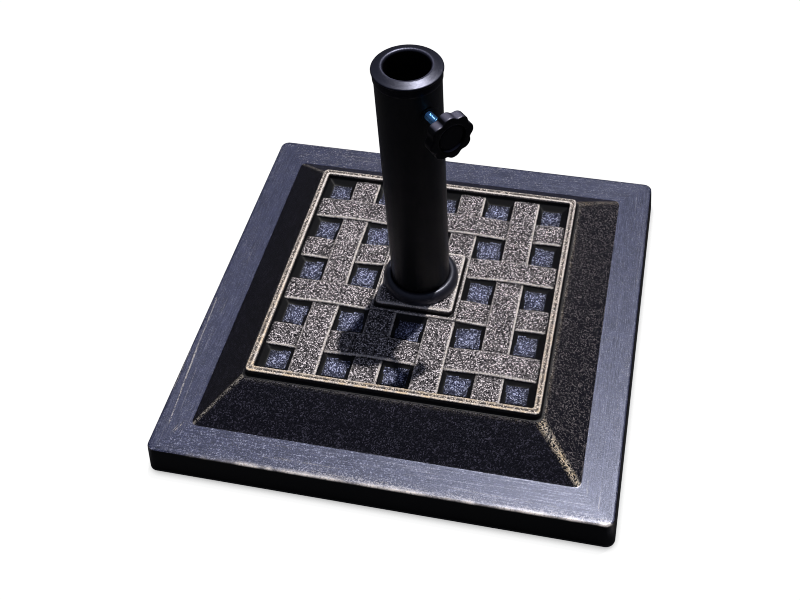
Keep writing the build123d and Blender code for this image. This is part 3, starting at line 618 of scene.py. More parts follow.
def hashed(a, b, seed=0.0):
    v = np.sin(np.asarray(a) * 12.9898 + np.asarray(b) * 78.233 + seed * 37.719) * 43758.5453
    return v - np.floor(v)


def wob(a, b, scale, seed=0.0):
    """Smooth value noise 0..1 in two dimensions."""
    a, b = np.asarray(a, float) / scale, np.asarray(b, float) / scale
    i, j = np.floor(a), np.floor(b)
    fx, fy = a - i, b - j
    fx, fy = fx * fx * (3 - 2 * fx), fy * fy * (3 - 2 * fy)
    return (hashed(i, j, seed) * (1 - fx) + hashed(i + 1, j, seed) * fx) * (1 - fy) + (hashed(i, j + 1, seed) * (1 - fx) + hashed(i + 1, j + 1, seed) * fx) * fy


for i in range(nT):
    for j in range(nT):
        if not inside_hole[i, j]:
            grid_index[i, j] = cnt
            cnt += 1
            V.append((gx[i, j], gy[i, j], gz[i, j]))
            w = 0.0
            if gwho[i, j] in (1, 2):
                d = gdrop[i, j]
                w = float(np.interp(d, [0.12, 0.20, 0.34, 0.9, 1.4, 1.9], [0.0, 0.3, 1.0, 1.0, 0.5, 0.0]))
                # painted highlight: the rubbed edges stay brighter on the front edges of the cross strips and the right
                # edges of the others
                near = CENTRES[int(np.argmin(np.abs(CENTRES - (gy[i, j] if gwho[i, j] == 1 else gx[i, j]))))]
                highlight_side = gy[i, j] < near if gwho[i, j] == 1 else gx[i, j] > near
                w *= 0.85 if highlight_side else 0.3
            elif gwho[i, j] == 4:
                w = float(np.interp(gdrop[i, j], [0.0, 0.15, 0.6, 1.2, 1.8], [0.25, 0.9, 1.0, 0.4, 0.0]))
            wear_and_highlight_list.append(w)
            unbrushed_and_shade_list.append(float(recess_unbrushed_and_shaded(gx[i, j], gy[i, j], gz[i, j], gwho[i, j])))
            lip_list.append(0.0)
cxm, cym = (T[:-1] + T[1:]) / 2, (T[:-1] + T[1:]) / 2
mx, my = np.meshgrid(cxm, cym, indexing="ij")
_, cwho, cdrop = panel_height(mx, my)
for i in range(nT - 1):
    for j in range(nT - 1):
        q = (grid_index[i, j], grid_index[i + 1, j], grid_index[i + 1, j + 1], grid_index[i, j + 1])
        if min(q) < 0 or (abs(mx[i, j]) < HOLE and abs(my[i, j]) < HOLE):
            continue
        # each cell stays one quad
        F.append(q)
        w_, d_ = cwho[i, j], cdrop[i, j]
        if w_ == 0:
            zone, dr = "floor", 0
        elif w_ in (1, 2):
            zone, dr = ("strip" if d_ < 1.7 else "black"), w_ - 1
        elif w_ == 4:
            zone, dr = ("strip" if d_ < 1.7 else "black"), 2
        else:
            zone, dr = "black", 2
        face_zone.append(zone)
        face_dir.append(dr)
NA = 8


def square_ring(half, r, z, fr):
    """Rounded-square ring; fr are the fractions along each straight side."""
    pts = []
    r = max(r, 0.0)
    a = half - r
    s = (2 * np.asarray(fr) - 1) * a
    for side in range(4):
        c, sn = [(1, 0), (0, 1), (-1, 0), (0, -1)][side]
        for v in s:
            px, py = v, -half
            pts.append((px * c - py * sn, px * sn + py * c))
        for k in range(1, NA):
            t = math.radians(-90 + 90 * k / NA)
            px, py = a + r * math.cos(t), -a + r * math.sin(t)
            pts.append((px * c - py * sn, px * sn + py * c))
    pts = np.array(pts)
    return np.column_stack([pts, np.full(len(pts), float(z))])


def add_ring(pts, wear_and_highlight=0.0, lip=0.0):
    start = len(V)
    V.extend([tuple(p) for p in pts])
    unbrushed_and_shade_list.extend([0.0] * len(pts))
    lip_list.extend([float(lip)] * len(pts) if np.isscalar(lip) else [float(v) for v in lip])
    wear_and_highlight_list.extend([float(wear_and_highlight)] * len(pts) if np.isscalar(wear_and_highlight) else [float(w) for w in wear_and_highlight])
    return start


def join(a, b, n, zone, flip=False, dr=2):
    q = quads_between(a, b, n, flip)
    F.extend(q)
    face_zone.extend([zone] * len(q))
    face_dir.extend([dr] * len(q))


fr = (T + BORDER) / (2 * BORDER)
SH0 = 1.5                     # foot of the walls
RIM = 35.0


def wall_half(z):
    return 222.5 + (219.0 - 222.5) * (z - SH0) / (RIM - SH0)


# profile from the panel's border outwards, over the frame bar, down the skirt, across the rim, down the wall, and back up inside:
# (half side, corner radius, height, wear, zone of the band that ends here)
P = [(BORDER, 0.0, 70.0, 0.0, None)]
P += [(133.45, 1.0, 71.2, 0.0, "black"), (133.7, 1.4, 72.5, 0.25, "black")]
for k in range(1, 6):
    t = math.radians(90 * k / 5)
    P.append((133.75 + 1.25 * (1 - math.cos(t)), 2.2 + k * 0.2, 73.05 + 1.15 * math.sin(t), [0.35, 0.7, 1.0, 1.0, 0.9][k - 1], "bar"))
P += [(135.7, 3.3, 74.12, 0.55, "bar"), (136.3, 3.4, 73.88, 0.08, "bar"), (137.0, 3.6, 73.78, 0.0, "bar"), (137.7, 3.8, 73.86, 0.05, "bar"), (138.3, 3.9, 74.08, 0.5, "bar")]
for k in range(0, 6):
    t = math.radians(90 * k / 5)
    P.append((138.95 + 1.35 * math.sin(t), 4.2 + k * 0.12, 72.85 + 1.35 * math.cos(t), [0.9, 0.9, 0.7, 0.45, 0.2, 0.0][k], "bar" if k < 4 else "black"))
P += [(140.4, 4.8, 71.6, 0.05, "black"), (140.55, 4.8, 69.2, 0.0, "black"), (140.9, 4.9, 67.5, 0.0, "black"), (141.5, 5.0, 66.8, 0.0, "black"),
      (142.3, 5.1, 66.55, 0.0, "black"), (143.2, 5.2, 66.55, 0.05, "black"), (144.0, 5.4, 66.45, 0.25, "skirt"), (144.7, 5.6, 66.1, 0.45, "skirt"), (145.4, 5.7, 65.62, 0.25, "skirt")]
n_sk = 22
for k in range(1, n_sk + 1):
    t = k / n_sk
    half = 145.4 + (184.9 - 145.4) * t
    z = 65.62 + (35.30 - 65.62) * t + 0.35 * math.sin(math.pi * t)
    P.append((half, 5.7 + 0.6 * t, z, 0.0, "skirt"))
P += [(185.4, 6.3, 35.04, 0.0, "skirt"), (186.1, 6.3, RIM, 0.0, "rim")]
n_rim = 12
for k in range(1, n_rim + 1):
    t = k / n_rim
    P.append((186.1 + (216.4 - 186.1) * t, 6.3 + 1.2 * t, RIM, 0.45 if k == n_rim else 0.0, "rim"))
for k in range(1, 7):
    t = math.radians(90 * k / 6)
    P.append((216.4 + 2.65 * math.sin(t) + 0.05 * k / 6, 7.6 + 0.2 * k, RIM - 2.6 * (1 - math.cos(t)), [0.90, 1.0, 0.80, 0.30, 0.0, 0.0][k - 1], "rim" if k <= 3 else "side"))
for z in (29.5, 25.0, 20.0, 15.0, 10.0, 6.5):
    P.append((wall_half(z), 9.0, z, 0.0, "side"))
hb = wall_half(4.0)
for k in range(0, 6):
    t = math.radians(90 * k / 5)
    P.append((hb - 2.2 * (1 - math.cos(t)), 9.0 - 1.0 * (1 - math.cos(t)), 3.7 - 2.2 * math.sin(t), 0.12 if k < 4 else 0.0, "side"))
# underside lip and the hollow
P += [(219.9, 6.2, SH0, 0.0, "side"), (219.5, 6.0, SH0 + 0.4, 0.0, "black"), (219.1, 6.0, 5.2, 0.0, "black"), (216.35, 6.0, 32.0, 0.0, "black")]
skin = 184.5
P += [(skin, 3.5, 32.0, 0.0, "black"), (146.8, 3.0, 61.0, 0.0, "black")]
wear_noise = []
ring0 = None
NO = 4 * (len(fr) + NA - 1)
prev = None
for half, r, z, w, zone in P:
    pts = square_ring(half, r, z, fr)
    wv = np.full(len(pts), w)
    lv_ = np.zeros(len(pts))
    if 186 < half < 219.3 and z > 30:
        lv_ = smoothstep(207.0, 218.0, np.full(len(pts), half)) * (0.06 + 0.94 * (pts[:, 1] < -np.abs(pts[:, 0]) + 2.0) * smoothstep(-140.0, 30.0, pts[:, 0]))
        if half > 218.6:
            lv_ = lv_ * 0.4
    front = (pts[:, 1] < -np.abs(pts[:, 0]) + 2.0)
    if 133.5 < half < 136.0:
        wv = wv * np.where(front, 0.6, np.where(pts[:, 0] > np.abs(pts[:, 1]) - 2.0, 0.55, 1.0))      # inner bead
    elif 138.0 < half < 140.4 and z > 72:
        wv = wv * np.where(front, 1.0, np.where(pts[:, 0] > np.abs(pts[:, 1]) - 2.0, 0.75, 0.35))     # outer bead
    elif 143.0 < half < 146.0:
        wv = wv * np.where(front, 0.15, np.where(pts[:, 0] > np.abs(pts[:, 1]) - 2.0, 0.30, 0.0))      # top of the skirt
    elif half > 216 and z > 30:
        wv = wv * np.where(front, smoothstep(-196.0, -120.0, pts[:, 0]) * np.clip(0.15 + 1.5 * wob(pts[:, 0], pts[:, 1], 7.0, 5.0) ** 1.5, 0, 1), 0.0)
    if zone == "skirt":
        # the four hips are rubbed bright
        dx, dy = np.abs(pts[:, 0]), np.abs(pts[:, 1])
        hip = np.clip(1 - (np.abs(dx - dy)) / 4.2, 0, 1)
        low = (half - 144.0) / 41.0
        strength = np.where((pts[:, 0] > 0) & (pts[:, 1] < 0), 1.0, np.where(pts[:, 1] < 0, 0.45, 0.18))
        wide = np.where(pts[:, 0] > 0, 8.5 - 3.0 * low, 4.0 - 1.5 * low)
        hip = np.clip(1 - (np.abs(dx - dy)) / wide, 0, 1)
        wv = np.maximum(wv, strength * hip ** 0.8 * (0.55 + 0.6 * wob(pts[:, 0], pts[:, 1], 9.0, 3.0)))
    if zone == "side":
        dx, dy = np.abs(pts[:, 0]), np.abs(pts[:, 1])
        cor = np.clip(1 - np.abs(dx - dy) / 7.0, 0, 1)
        wv = np.maximum(wv, 0.25 * cor * smoothstep(14, 33, np.full(len(pts), z)))
    s = add_ring(pts, wv, lv_)
    if prev is None:
        ring0 = s
    else:
        join(prev, s, NO, zone)
    prev = s
outer_last = prev

# from the hole in the grid inwards: plinth top, groove, pad, socket for the tube, bolt sleeve, back to the hollow's ceiling
Th = T[(T >= -HOLE - 1e-6) & (T <= HOLE + 1e-6)]
fr2 = (Th + HOLE) / (2 * HOLE)
NI = 4 * (len(fr2) + NA - 1)
Q = [(HOLE, 0.0, PLINTH_Z, 0.15, None), (40.6, 2.5, PLINTH_Z + 0.02, 0.05, "strip"), (39.9, 4.2, PLINTH_Z - 0.35, 0.0, "black"), (39.45, 4.6, PLINTH_Z - 0.55, 0.0, "black"),
     (39.0, 4.8, PLINTH_Z - 0.2, 0.0, "black"), (38.85, 4.8, PLINTH_Z + 1.2, 0.0, "black"), (PAD_HALF, 4.6, PAD_Z - 1.7, 0.1, "black")]
for k in range(1, 6):
    t = math.radians(90 * k / 5)
    Q.append((PAD_HALF - 1.3 * (1 - math.cos(t)), 4.6 - 0.9 * (1 - math.cos(t)), PAD_Z - 1.3 + 1.3 * math.sin(t), [0.6, 1.0, 1.0, 0.9, 0.75][k - 1], "strip"))
Q += [(36.4, 3.4, PAD_Z, 0.45, "strip"), (35.2, 3.3, PAD_Z, 0.12, "strip"), (33.6, 3.2, PAD_Z, 0.0, "strip")]
prev = None
for half, r, z, w, zone in Q:
    pts = square_ring(half, r, z, fr2)
    s = add_ring(pts, w)
    if prev is not None:
        join(prev, s, NI, zone, flip=True)
    prev = s
    last = pts
ang = np.arctan2(last[:, 1], last[:, 0])


def circle_ring(r, z):
    return np.column_stack([r * np.cos(ang), r * np.sin(ang), np.full(len(ang), float(z))])


for r, z, zone in ((31.0, PAD_Z, "strip"), (29.1, PAD_Z - 0.1, "black"), (28.95, PAD_Z - 0.6, "black"), (28.95, PAD_Z - 8.0, "black"), (5.7, PAD_Z - 8.0, "black"),
                   (5.7, 22.05, "black"), (8.4, 22.05, "black"), (8.4, 61.0, "black")):
    s = add_ring(circle_ring(r, z), 0.0)
    join(prev, s, NI, zone, flip=True)
    prev = s
inner_last = prev
# close the hollow's ceiling between the two families by angle
oa = np.arctan2([V[outer_last + i][1] for i in range(NO)], [V[outer_last + i][0] for i in range(NO)])
ia = np.arctan2([V[inner_last + i][1] for i in range(NI)], [V[inner_last + i][0] for i in range(NI)])


def unroll(a):
    a = np.asarray(a)
    k0 = int(np.argmin(a))
    order = [(k0 + i) % len(a) for i in range(len(a))]
    return order, a[order]


oo, oav = unroll(oa)
io, iav = unroll(ia)
p = q = 0
while p < NO or q < NI:
    po, pi_ = outer_last + oo[p % NO], inner_last + io[q % NI]
    nexto = oav[(p + 1) % NO] + (2 * math.pi if p + 1 >= NO else 0)
    nexti = iav[(q + 1) % NI] + (2 * math.pi if q + 1 >= NI else 0)
    if q >= NI or (p < NO and nexto <= nexti):
        F.append((po, outer_last + oo[(p + 1) % NO], pi_)); p += 1
    else:
        F.append((pi_, po, inner_last + io[(q + 1) % NI])); q += 1
    face_zone.append("black"); face_dir.append(2)

# screw bosses under the rim, as closed posts that run up into the rim's underside
for bx, by in [(-204, -204), (0, -204), (204, -204), (-204, 0), (204, 0), (-204, 204), (0, 204), (204, 204)]:
    bv, bf = lathe([(0, 17.0), (1.75, 17.0), (1.75, 5.0), (5.0, 5.0), (5.0, 33.5), (0, 33.5)], 24, axis_origin=(bx, by, 0), close=False)
    base = len(V)
    V.extend([tuple(v) for v in bv]); wear_and_highlight_list.extend([0.0] * len(bv)); unbrushed_and_shade_list.extend([0.0] * len(bv)); lip_list.extend([0.0] * len(bv))
    F.extend([tuple(base + i for i in f) for f in bf])
    face_zone.extend(["black"] * len(bf)); face_dir.extend([2] * len(bf))

V = np.array(V, float)
mesh = bpy.data.meshes.new("woven_shell")
mesh.from_pydata([tuple(v) for v in V * MM], [], F)
att = mesh.attributes.new("wear_and_highlight", "FLOAT", "POINT")
att.data.foreach_set("value", np.array(wear_and_highlight_list, np.float32))
for nm, vals in (("recess_unbrushed_and_shaded", unbrushed_and_shade_list), ("lip", lip_list)):
    mesh.attributes.new(nm, "FLOAT", "POINT").data.foreach_set("value", np.array(vals, np.float32))
zi = mesh.attributes.new("zone_id", "INT", "FACE")
ZONES = ["black", "rim", "skirt", "strip", "floor", "bar", "side"]
zi.data.foreach_set("value", np.array([ZONES.index(z) for z in face_zone], np.int32))
gd = mesh.attributes.new("grain_dir", "INT", "FACE")
gd.data.foreach_set("value", np.array(face_dir, np.int32))
import bmesh
bm = bmesh.new()
bm.from_mesh(mesh)
bmesh.ops.remove_doubles(bm, verts=bm.verts, dist=2e-6)
bmesh.ops.dissolve_degenerate(bm, edges=bm.edges, dist=1e-6)
bmesh.ops.recalc_face_normals(bm, faces=bm.faces)
open_edges = sum(1 for e in bm.edges if not e.is_manifold)
bm.to_mesh(mesh)
bm.free()
mesh.update()
print("shell verts", len(mesh.vertices), "faces", len(mesh.polygons), "open edges", open_edges)
# per-corner grain coordinates and zone weights
nl = len(mesh.loops)
lv = np.zeros(nl, np.int32); mesh.loops.foreach_get("vertex_index", lv)
co = np.zeros(len(mesh.vertices) * 3, np.float32); mesh.vertices.foreach_get("co", co)
co = co.reshape(-1, 3) / MM
ls = np.zeros(len(mesh.polygons), np.int32); mesh.polygons.foreach_get("loop_start", ls)
lt = np.zeros(len(mesh.polygons), np.int32); mesh.polygons.foreach_get("loop_total", lt)
pc = np.zeros(len(mesh.polygons) * 3, np.float32); mesh.polygons.foreach_get("center", pc)
pc = pc.reshape(-1, 3) / MM
zid = np.zeros(len(mesh.polygons), np.int32); mesh.attributes["zone_id"].data.foreach_get("value", zid)
gdv = np.zeros(len(mesh.polygons), np.int32); mesh.attributes["grain_dir"].data.foreach_get("value", gdv)
lp = np.repeat(np.arange(len(mesh.polygons)), lt)
side_y = np.abs(pc[:, 1]) >= np.abs(pc[:, 0])       # front and back sides run along x
run_x = np.where(gdv == 0, True, np.where(gdv == 1, False, side_y))
lx, ly, lz = co[lv, 0], co[lv, 1], co[lv, 2]
rx = run_x[lp]
along = np.where(rx, lx, ly)
across = np.where(rx, ly, lx)
steep = zid[lp] == ZONES.index("side")
across = np.where(steep, lz, across) + np.where(zid[lp] == ZONES.index("skirt"), lz * 0.25, 0)
bank = np.where(rx, 0.0, 37.0) + np.where(np.where(rx, pc[lp, 1], pc[lp, 0]) > 0, 11.0, 0.0)
g = mesh.attributes.new("grain", "FLOAT_VECTOR", "CORNER")
g.data.foreach_set("vector", np.column_stack([along, across, bank]).astype(np.float32).ravel())
for k, nm in (("rim", "z_rim"), ("skirt", "z_skirt"), ("strip", "z_strip"), ("floor", "z_floor"), ("bar", "z_bar")):
    a = mesh.attributes.new(nm, "FLOAT", "CORNER")
    a.data.foreach_set("value", (zid[lp] == ZONES.index(k)).astype(np.float32))
mesh.attributes.remove(mesh.attributes["zone_id"])
mesh.attributes.remove(mesh.attributes["grain_dir"])
mesh.materials.append(M_SHELL)
mesh.shade_smooth()
mesh.set_sharp_from_angle(angle=math.radians(48))
shell = bpy.data.objects.new("woven_shell", mesh)
scene.collection.objects.link(shell)
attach(shell, "base")
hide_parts("top_shell")

# ------------------------------------------------------------------ tube, collar and cap
tube_lo, tube_hi = b_mm("stem_tube")
TUBE_R = float(tube_hi[0] - tube_lo[0]) / 2
col_lo, col_hi = b_mm("flange_collar")
cap_lo, cap_hi = b_mm("top_cap")
CAP_TOP = float(cap_hi[2])
CAP_R = float(cap_hi[0] - cap_lo[0]) / 2
COL_R = float(col_hi[0] - col_lo[0]) / 2
COL_Z0, COL_Z1 = float(col_lo[2]), float(col_hi[2])
UP = (np.array([1.0, 0, 0]), np.array([0, 1.0, 0]), np.array([0, 0, 1.0]))

# trim ring: a fat half-round bead with a small foot and a thin throat that wraps the tube
prof = [(TUBE_R + 0.2, COL_Z0), (COL_R - 0.9, COL_Z0), (COL_R - 0.25, COL_Z0 + 0.35), (COL_R, COL_Z0 + 1.1)]
for k in range(1, 17):
    t = math.radians(6 + 84 * k / 16)
    prof.append((COL_R - 6.4 + 6.4 * math.cos(t * 0.98), COL_Z0 + 1.5 + (COL_Z1 - COL_Z0 - 1.5) * math.sin(t) ** 0.92))
prof += [(TUBE_R + 1.3, COL_Z1 - 0.05), (TUBE_R + 0.6, COL_Z1 - 0.45), (TUBE_R + 0.2, COL_Z1 - 1.0)]
v, f = lathe(prof, 160, frame3=UP)
collar = make_object("trim_ring", v, f, [M_COLLAR], 40, merge=0.002)
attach(collar, "collar")
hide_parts("flange_collar")

# reducer cap: rounded lip, gently coned face, rounded edge, outer skirt that tapers to the tube, plug sleeves inside
LIP = 2.7
BORE = 19.7
prof = [(BORE, CAP_TOP - 20.8)]
prof += [(BORE, CAP_TOP - 14.0), (BORE, CAP_TOP - 8.0), (BORE, CAP_TOP - LIP - 0.6)]
for k in range(0, 13):
    t = math.radians(-90 + (90 + 19.3) * k / 12)
    prof.append((BORE + LIP + LIP * math.sin(t), CAP_TOP - LIP + LIP * math.cos(t)))
e0 = prof[-1]
edge_r, edge_z = CAP_R - 1.05, CAP_TOP - 2.42
for k in range(1, 5):
    prof.append((e0[0] + (edge_r - e0[0]) * k / 5, e0[1] + (edge_z - e0[1]) * k / 5 + 0.10 * math.sin(math.pi * k / 5)))
for k in range(0, 9):
    t = math.radians(19.3 + (180 - 30 - 19.3) * k / 8)
    prof.append((CAP_R - 1.4 + 1.4 * math.sin(t), edge_z - 1.05 + 1.4 * math.cos(t) * 0.95))
prof += [(CAP_R - 0.75, CAP_TOP - 7.2), (CAP_R - 0.85, CAP_TOP - 9.6), (TUBE_R + 0.75, CAP_TOP - 11.6), (TUBE_R + 0.42, CAP_TOP - 12.15), (TUBE_R + 0.14, CAP_TOP - 11.9), (TUBE_R + 0.14, CAP_TOP - 5.75),
         (TUBE_R - 1.62, CAP_TOP - 5.75), (TUBE_R - 1.62, CAP_TOP - 20.8), (TUBE_R - 3.6, CAP_TOP - 20.8), (TUBE_R - 3.6, CAP_TOP - 7.8), (BORE + 2.0, CAP_TOP - 7.8), (BORE + 2.0, CAP_TOP - 20.8)]
v, f = lathe(prof, 192, frame3=UP)
cap = make_object("reducer_cap", v, f, [M_CAP], 40, merge=0.002)
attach(cap, "cap")
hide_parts("top_cap")

# ------------------------------------------------------------------ clamp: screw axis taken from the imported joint
turn = [j for j in frame["joints"] if j["name"] == "knob_turn"][0]
out = -np.array(turn["axis"], float)
out /= np.linalg.norm(out)
side = np.cross(np.array([0, 0, 1.0]), out)
side /= np.linalg.norm(side)
AX = (side, np.cross(out, side), out)
SCREW_O = np.array([0, 0, float(turn["pos_m"][2]) / MM])


def along(node):
    """Reach of a CAD node along the screw's axis, in mm from the tube's axis."""
    co_ = np.array([v.co for v in frame["nodes"][node].data.vertices], float) / MM
    d = (co_ - SCREW_O) @ out
    r = np.linalg.norm((co_ - SCREW_O) - np.outer(d, out), axis=1)
    return float(d.min()), float(d.max()), float(r.max())


s0, s1, _ = along("clamp_screw")
k0, k1, knob_R = along("clamp_knob")
c0, c1, _ = along("knob_cap")
HEAD = s1 - 5.5

# screw: a real right-hand M8 thread from the point to the head, then a hexagon head inside the knob
PITCH_T, R_OUT, R_ROOT = 1.25, 3.97, 3.52
n_ring = 48
steps = 10
length = HEAD - s0
rows = int(round(length / PITCH_T * steps))
vv, ff = [], []
for i in range(rows + 1):
    zz = s0 + length * i / rows
    for k in range(n_ring):
        a = 2 * math.pi * k / n_ring
        ph = ((zz - s0) / PITCH_T - a / (2 * math.pi)) % 1.0
        tooth = abs(2 * ph - 1)
        r = R_ROOT + (R_OUT - R_ROOT) * min(1.0, max(0.0, (tooth - 0.12) / 0.70))
        r = min(r, 3.25 + (zz - s0) * 0.9)
        r = min(r, R_OUT)
        vv.append(SCREW_O + AX[0] * r * math.cos(a) + AX[1] * r * math.sin(a) + out * zz)
for i in range(rows):
    for k in range(n_ring):
        kk = (k + 1) % n_ring
        ff.append((i * n_ring + k, i * n_ring + kk, (i + 1) * n_ring + kk, (i + 1) * n_ring + k))
# bored point for the tip's stem
b0 = len(vv)
for r, zz in ((2.1, s0), (2.1, s0 + 4.6)):
    for k in range(n_ring):
        a = 2 * math.pi * k / n_ring
        vv.append(SCREW_O + AX[0] * r * math.cos(a) + AX[1] * r * math.sin(a) + out * zz)
vv.append(SCREW_O + out * (s0 + 4.6))
apex = len(vv) - 1
for k in range(n_ring):
    kk = (k + 1) % n_ring
    ff.append((k, b0 + k, b0 + kk, kk))
    ff.append((b0 + k, b0 + n_ring + k, b0 + n_ring + kk, b0 + kk))
    ff.append((b0 + n_ring + k, apex, b0 + n_ring + kk))
# head: hexagon with rounded corners
last_row = rows * n_ring
hexes = []
for zz, shrink in ((HEAD, 0.25), (HEAD + 0.3, 0.0), (s1 - 0.6, 0.0), (s1, 0.6)):
    h0 = len(vv)
    hexes.append(h0)
    for k in range(n_ring):
        a = 2 * math.pi * k / n_ring
        rr = 6.5 / math.cos((a % (math.pi / 3)) - math.pi / 6)
        rr = min(rr, 7.35) - shrink
        vv.append(SCREW_O + AX[0] * rr * math.cos(a) + AX[1] * rr * math.sin(a) + out * zz)
ff += [(last_row + k, last_row + (k + 1) % n_ring, hexes[0] + (k + 1) % n_ring, hexes[0] + k) for k in range(n_ring)]
for a_, b_ in zip(hexes[:-1], hexes[1:]):
    ff += [(a_ + k, a_ + (k + 1) % n_ring, b_ + (k + 1) % n_ring, b_ + k) for k in range(n_ring)]
vv.append(SCREW_O + out * s1)
ff += [(hexes[-1] + k, hexes[-1] + (k + 1) % n_ring, len(vv) - 1) for k in range(n_ring)]
screw = make_object("clamp_screw_threaded", np.array(vv), ff, [M_SCREW], 35, merge=0.0005)
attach(screw, "clamp_handle")
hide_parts("clamp_screw")

# knob: eight rounded lobes, rolled front and back edges, hollow back with a hub, seat for the cap disc
LOBES, PHASE, DIP = 8, math.radians(5.8), 2.3
NK = 8 * 24
ka = np.linspace(0, 2 * np.pi, NK, endpoint=False)
wave = 0.5 - 0.5 * np.cos(LOBES * (ka - PHASE))
R_lobe = knob_R - DIP * wave ** 1.6


def knob_ring(scale_r, inset, z):
    """Ring of the knob's section: lobed where scale_r is 1, round of radius inset where it is 0."""
    r = R_lobe - inset if scale_r else np.full(NK, inset)
    return SCREW_O + np.outer(np.cos(ka) * r, AX[0]) + np.outer(np.sin(ka) * r, AX[1]) + out * z


LB = k1 - 10.3            # back face of the lobes
kr = []
hub0 = k0
kr.append(knob_ring(0, 4.15, hub0 + 0.4))
kr.append(knob_ring(0, 4.6, hub0))
kr.append(knob_ring(0, 6.7, hub0))
kr.append(knob_ring(0, 7.3, hub0 + 0.5))
kr.append(knob_ring(0, 7.5, hub0 + 1.6))
kr.append(knob_ring(0, 9.0, LB + 3.2))
kr.append(knob_ring(0, 9.8, LB + 4.3))
kr.append(knob_ring(0, 15.0, LB + 4.3))
kr.append(knob_ring(0, 15.4, LB + 3.6))
kr.append(knob_ring(0, 15.6, LB + 0.3))
kr.append(knob_ring(0, 15.9, LB))
for k in range(0, 6):
    t = math.radians(90 * k / 5)
    kr.append(knob_ring(1, 1.15 * (1 - math.sin(t)), LB + 1.15 * (1 - math.cos(t))))
for zz in np.linspace(LB + 2.4, k1 - 2.6, 4):
    kr.append(knob_ring(1, 0.0, zz))
for k in range(0, 7):
    t = math.radians(90 * k / 6)
    kr.append(knob_ring(1, 1.5 * (1 - math.cos(t)), k1 - 1.5 + 1.5 * math.sin(t)))
kr.append(knob_ring(0, 14.6, k1 - 0.02))
kr.append(knob_ring(0, 13.6, k1 - 0.08))
kr.append(knob_ring(0, 13.1, k1 - 0.35))
kr.append(knob_ring(0, 12.95, k1 - 0.9))
kr.append(knob_ring(0, 12.9, c0 - 0.02))
kr.append(knob_ring(0, 7.6, c0 - 0.02))
kr.append(knob_ring(0, 7.6, HEAD - 0.05))
kr.append(knob_ring(0, 4.15, HEAD - 0.05))
kv = np.concatenate(kr)
kf = []
m_ = len(kr)
for r_ in range(m_):
    n_ = (r_ + 1) % m_
    for k in range(NK):
        kk = (k + 1) % NK
        kf.append((r_ * NK + k, r_ * NK + kk, n_ * NK + kk, n_ * NK + k))
knob = make_object("star_knob", kv, kf, [M_KNOB], 42, merge=0.0005)
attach(knob, "clamp_handle")
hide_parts("clamp_knob")

# cap disc: slightly domed, in a thin groove
prof = [(0, c0), (12.7, c0), (12.7, c0 + 0.85), (11.6, c0 + 0.85), (11.45, c0 + 1.0), (11.4, c1 - 0.9), (11.25, c1 - 0.45), (10.8, c1 - 0.15), (10.2, c1 - 0.05), (8.0, c1 - 0.0), (4.0, c1 - 0.0), (0, c1)]
v, f = lathe(prof, 96, axis_origin=SCREW_O, frame3=AX, close=False)
disc = make_object("knob_disc", v, f, [M_KNOB], 30, merge=0.0005)
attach(disc, "clamp_handle")
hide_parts("knob_cap")

# ------------------------------------------------------------------ stage, light, camera
def plain_floor():
    """Pale to the camera, with a painted contact shadow from ambient occlusion near the base; darker to everything
    else, so the black faces aren't washed out by its bounce.
    """
    n = Nodes("pale_floor")
    a = n.noise(0.01, 3.0, 0.5)
    n.set(color=n.mix(n.mapr(a, 0.3, 0.7), (0.86, 0.86, 0.86), (0.90, 0.90, 0.90)), rough=0.8, spec=0.1)
    t = n.t
    glow = t.nodes.new("ShaderNodeEmission")
    glow.inputs[0].default_value = (1, 1, 1, 1)
    glow.inputs[1].default_value = 1.04
    pale = t.nodes.new("ShaderNodeMixShader")
    pale.inputs[0].default_value = 0.93
    # painted contact shadow: the floor's glow is dimmed where ambient occlusion finds the base close by
    near = t.nodes.new("ShaderNodeAmbientOcclusion")
    near.inputs["Distance"].default_value = 0.0075
    near.samples = 8
    n.link(n.mapr(near.outputs["AO"], 0.42, 0.90, 0.55, 1.04), glow.inputs[1])
    n.link(n.bsdf.outputs[0], pale.inputs[1])
    n.link(glow.outputs[0], pale.inputs[2])
    dark = t.nodes.new("ShaderNodeBsdfDiffuse")
    dark.inputs[0].default_value = (0.06, 0.06, 0.065, 1)
    lp_ = t.nodes.new("ShaderNodeLightPath")
    sel = t.nodes.new("ShaderNodeMixShader")
    n.link(lp_.outputs["Is Camera Ray"], sel.inputs[0])
    n.link(dark.outputs[0], sel.inputs[1])
    n.link(pale.outputs[0], sel.inputs[2])
    n.link(sel.outputs[0], n.out.inputs[0])
    return n.mat


fm = bpy.data.meshes.new("floor")
fm.from_pydata([(-9, -9, 0), (9, -9, 0), (9, 9, 0), (-9, 9, 0)], [], [(0, 1, 2, 3)])
fm.materials.append(plain_floor())
floor_obj = bpy.data.objects.new("floor", fm)
scene.collection.objects.link(floor_obj)
floor_obj.location = (0, 0, -0.0002)

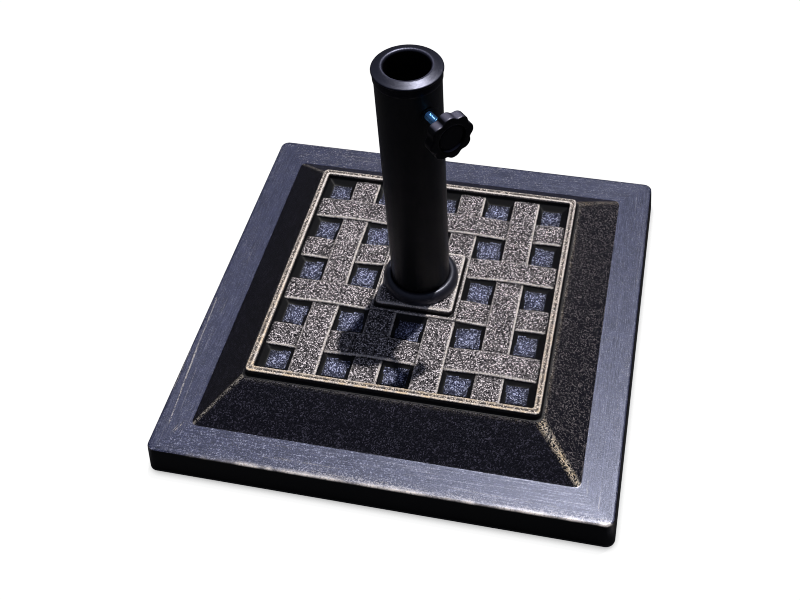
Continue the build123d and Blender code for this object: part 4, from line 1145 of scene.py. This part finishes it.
world = bpy.data.worlds.new("studio")
scene.world = world
world.use_nodes = True
wt = world.node_tree
bg = wt.nodes["Background"]
bg.inputs[1].default_value = 1.0
wtc = wt.nodes.new("ShaderNodeTexCoord")
wsep = wt.nodes.new("ShaderNodeSeparateXYZ")
wt.links.new(wtc.outputs["Generated"], wsep.inputs[0])
wr = wt.nodes.new("ShaderNodeValToRGB")
wr.color_ramp.elements[0].position = 0.0
wr.color_ramp.elements[0].color = (0.020, 0.021, 0.026, 1)
wr.color_ramp.elements[1].position = 1.0
wr.color_ramp.elements[1].color = (0.135, 0.150, 0.200, 1)
for pos_, col_ in ((0.15, (0.035, 0.037, 0.046, 1)), (0.55, (0.105, 0.118, 0.160, 1))):
    el_ = wr.color_ramp.elements.new(pos_)
    el_.color = col_
wt.links.new(wsep.outputs["Z"], wr.inputs[0])
wt.links.new(wr.outputs[0], bg.inputs[0])
seen = wt.nodes.new("ShaderNodeBackground")
seen.inputs[0].default_value = (1, 1, 1, 1)
seen.inputs[1].default_value = 1.0
wlp = wt.nodes.new("ShaderNodeLightPath")
wmix = wt.nodes.new("ShaderNodeMixShader")
wt.links.new(wlp.outputs["Is Camera Ray"], wmix.inputs[0])
wt.links.new(bg.outputs[0], wmix.inputs[1])
wt.links.new(seen.outputs[0], wmix.inputs[2])
wt.links.new(wmix.outputs[0], wt.nodes["World Output"].inputs[0])

sun = bpy.data.lights.new("key_sun", "SUN")
sun.energy = 3.3
sun.angle = math.radians(1.5)
sun.color = (1.0, 0.98, 0.95)
so = bpy.data.objects.new("key_sun", sun)
scene.collection.objects.link(so)
so.rotation_euler = Vector((-0.13, -0.315, -1.0)).to_track_quat("-Z", "Y").to_euler()

az, el, roll = math.radians(-13.3306), math.radians(49.9394), math.radians(-2.3519)
cam_pos = Vector((181.263, -665.34, 859.46)) * MM
f_px, cx = 1037.741, 444.89
fw = Vector((math.sin(az) * math.cos(el), math.cos(az) * math.cos(el), -math.sin(el)))
rt = Vector((math.cos(az), -math.sin(az), 0))
up = rt.cross(fw)
rt2 = rt * math.cos(roll) + up * math.sin(roll)
up2 = -rt * math.sin(roll) + up * math.cos(roll)
cam = bpy.data.cameras.new("camera")
cam.sensor_width = 36.0
cam.lens = f_px * 36.0 / 800.0
cam.shift_x = (400 - cx) / 800.0
cam.clip_start, cam.clip_end = 0.01, 50
co_ = bpy.data.objects.new("camera", cam)
scene.collection.objects.link(co_)
m = Matrix(((rt2.x, up2.x, -fw.x, cam_pos.x), (rt2.y, up2.y, -fw.y, cam_pos.y), (rt2.z, up2.z, -fw.z, cam_pos.z), (0, 0, 0, 1)))
co_.matrix_world = m
scene.camera = co_
if hasattr(scene, "cycles"):
    scene.cycles.filter_width = 1.0
scene.view_settings.view_transform = "Standard"
scene.view_settings.look = "None"
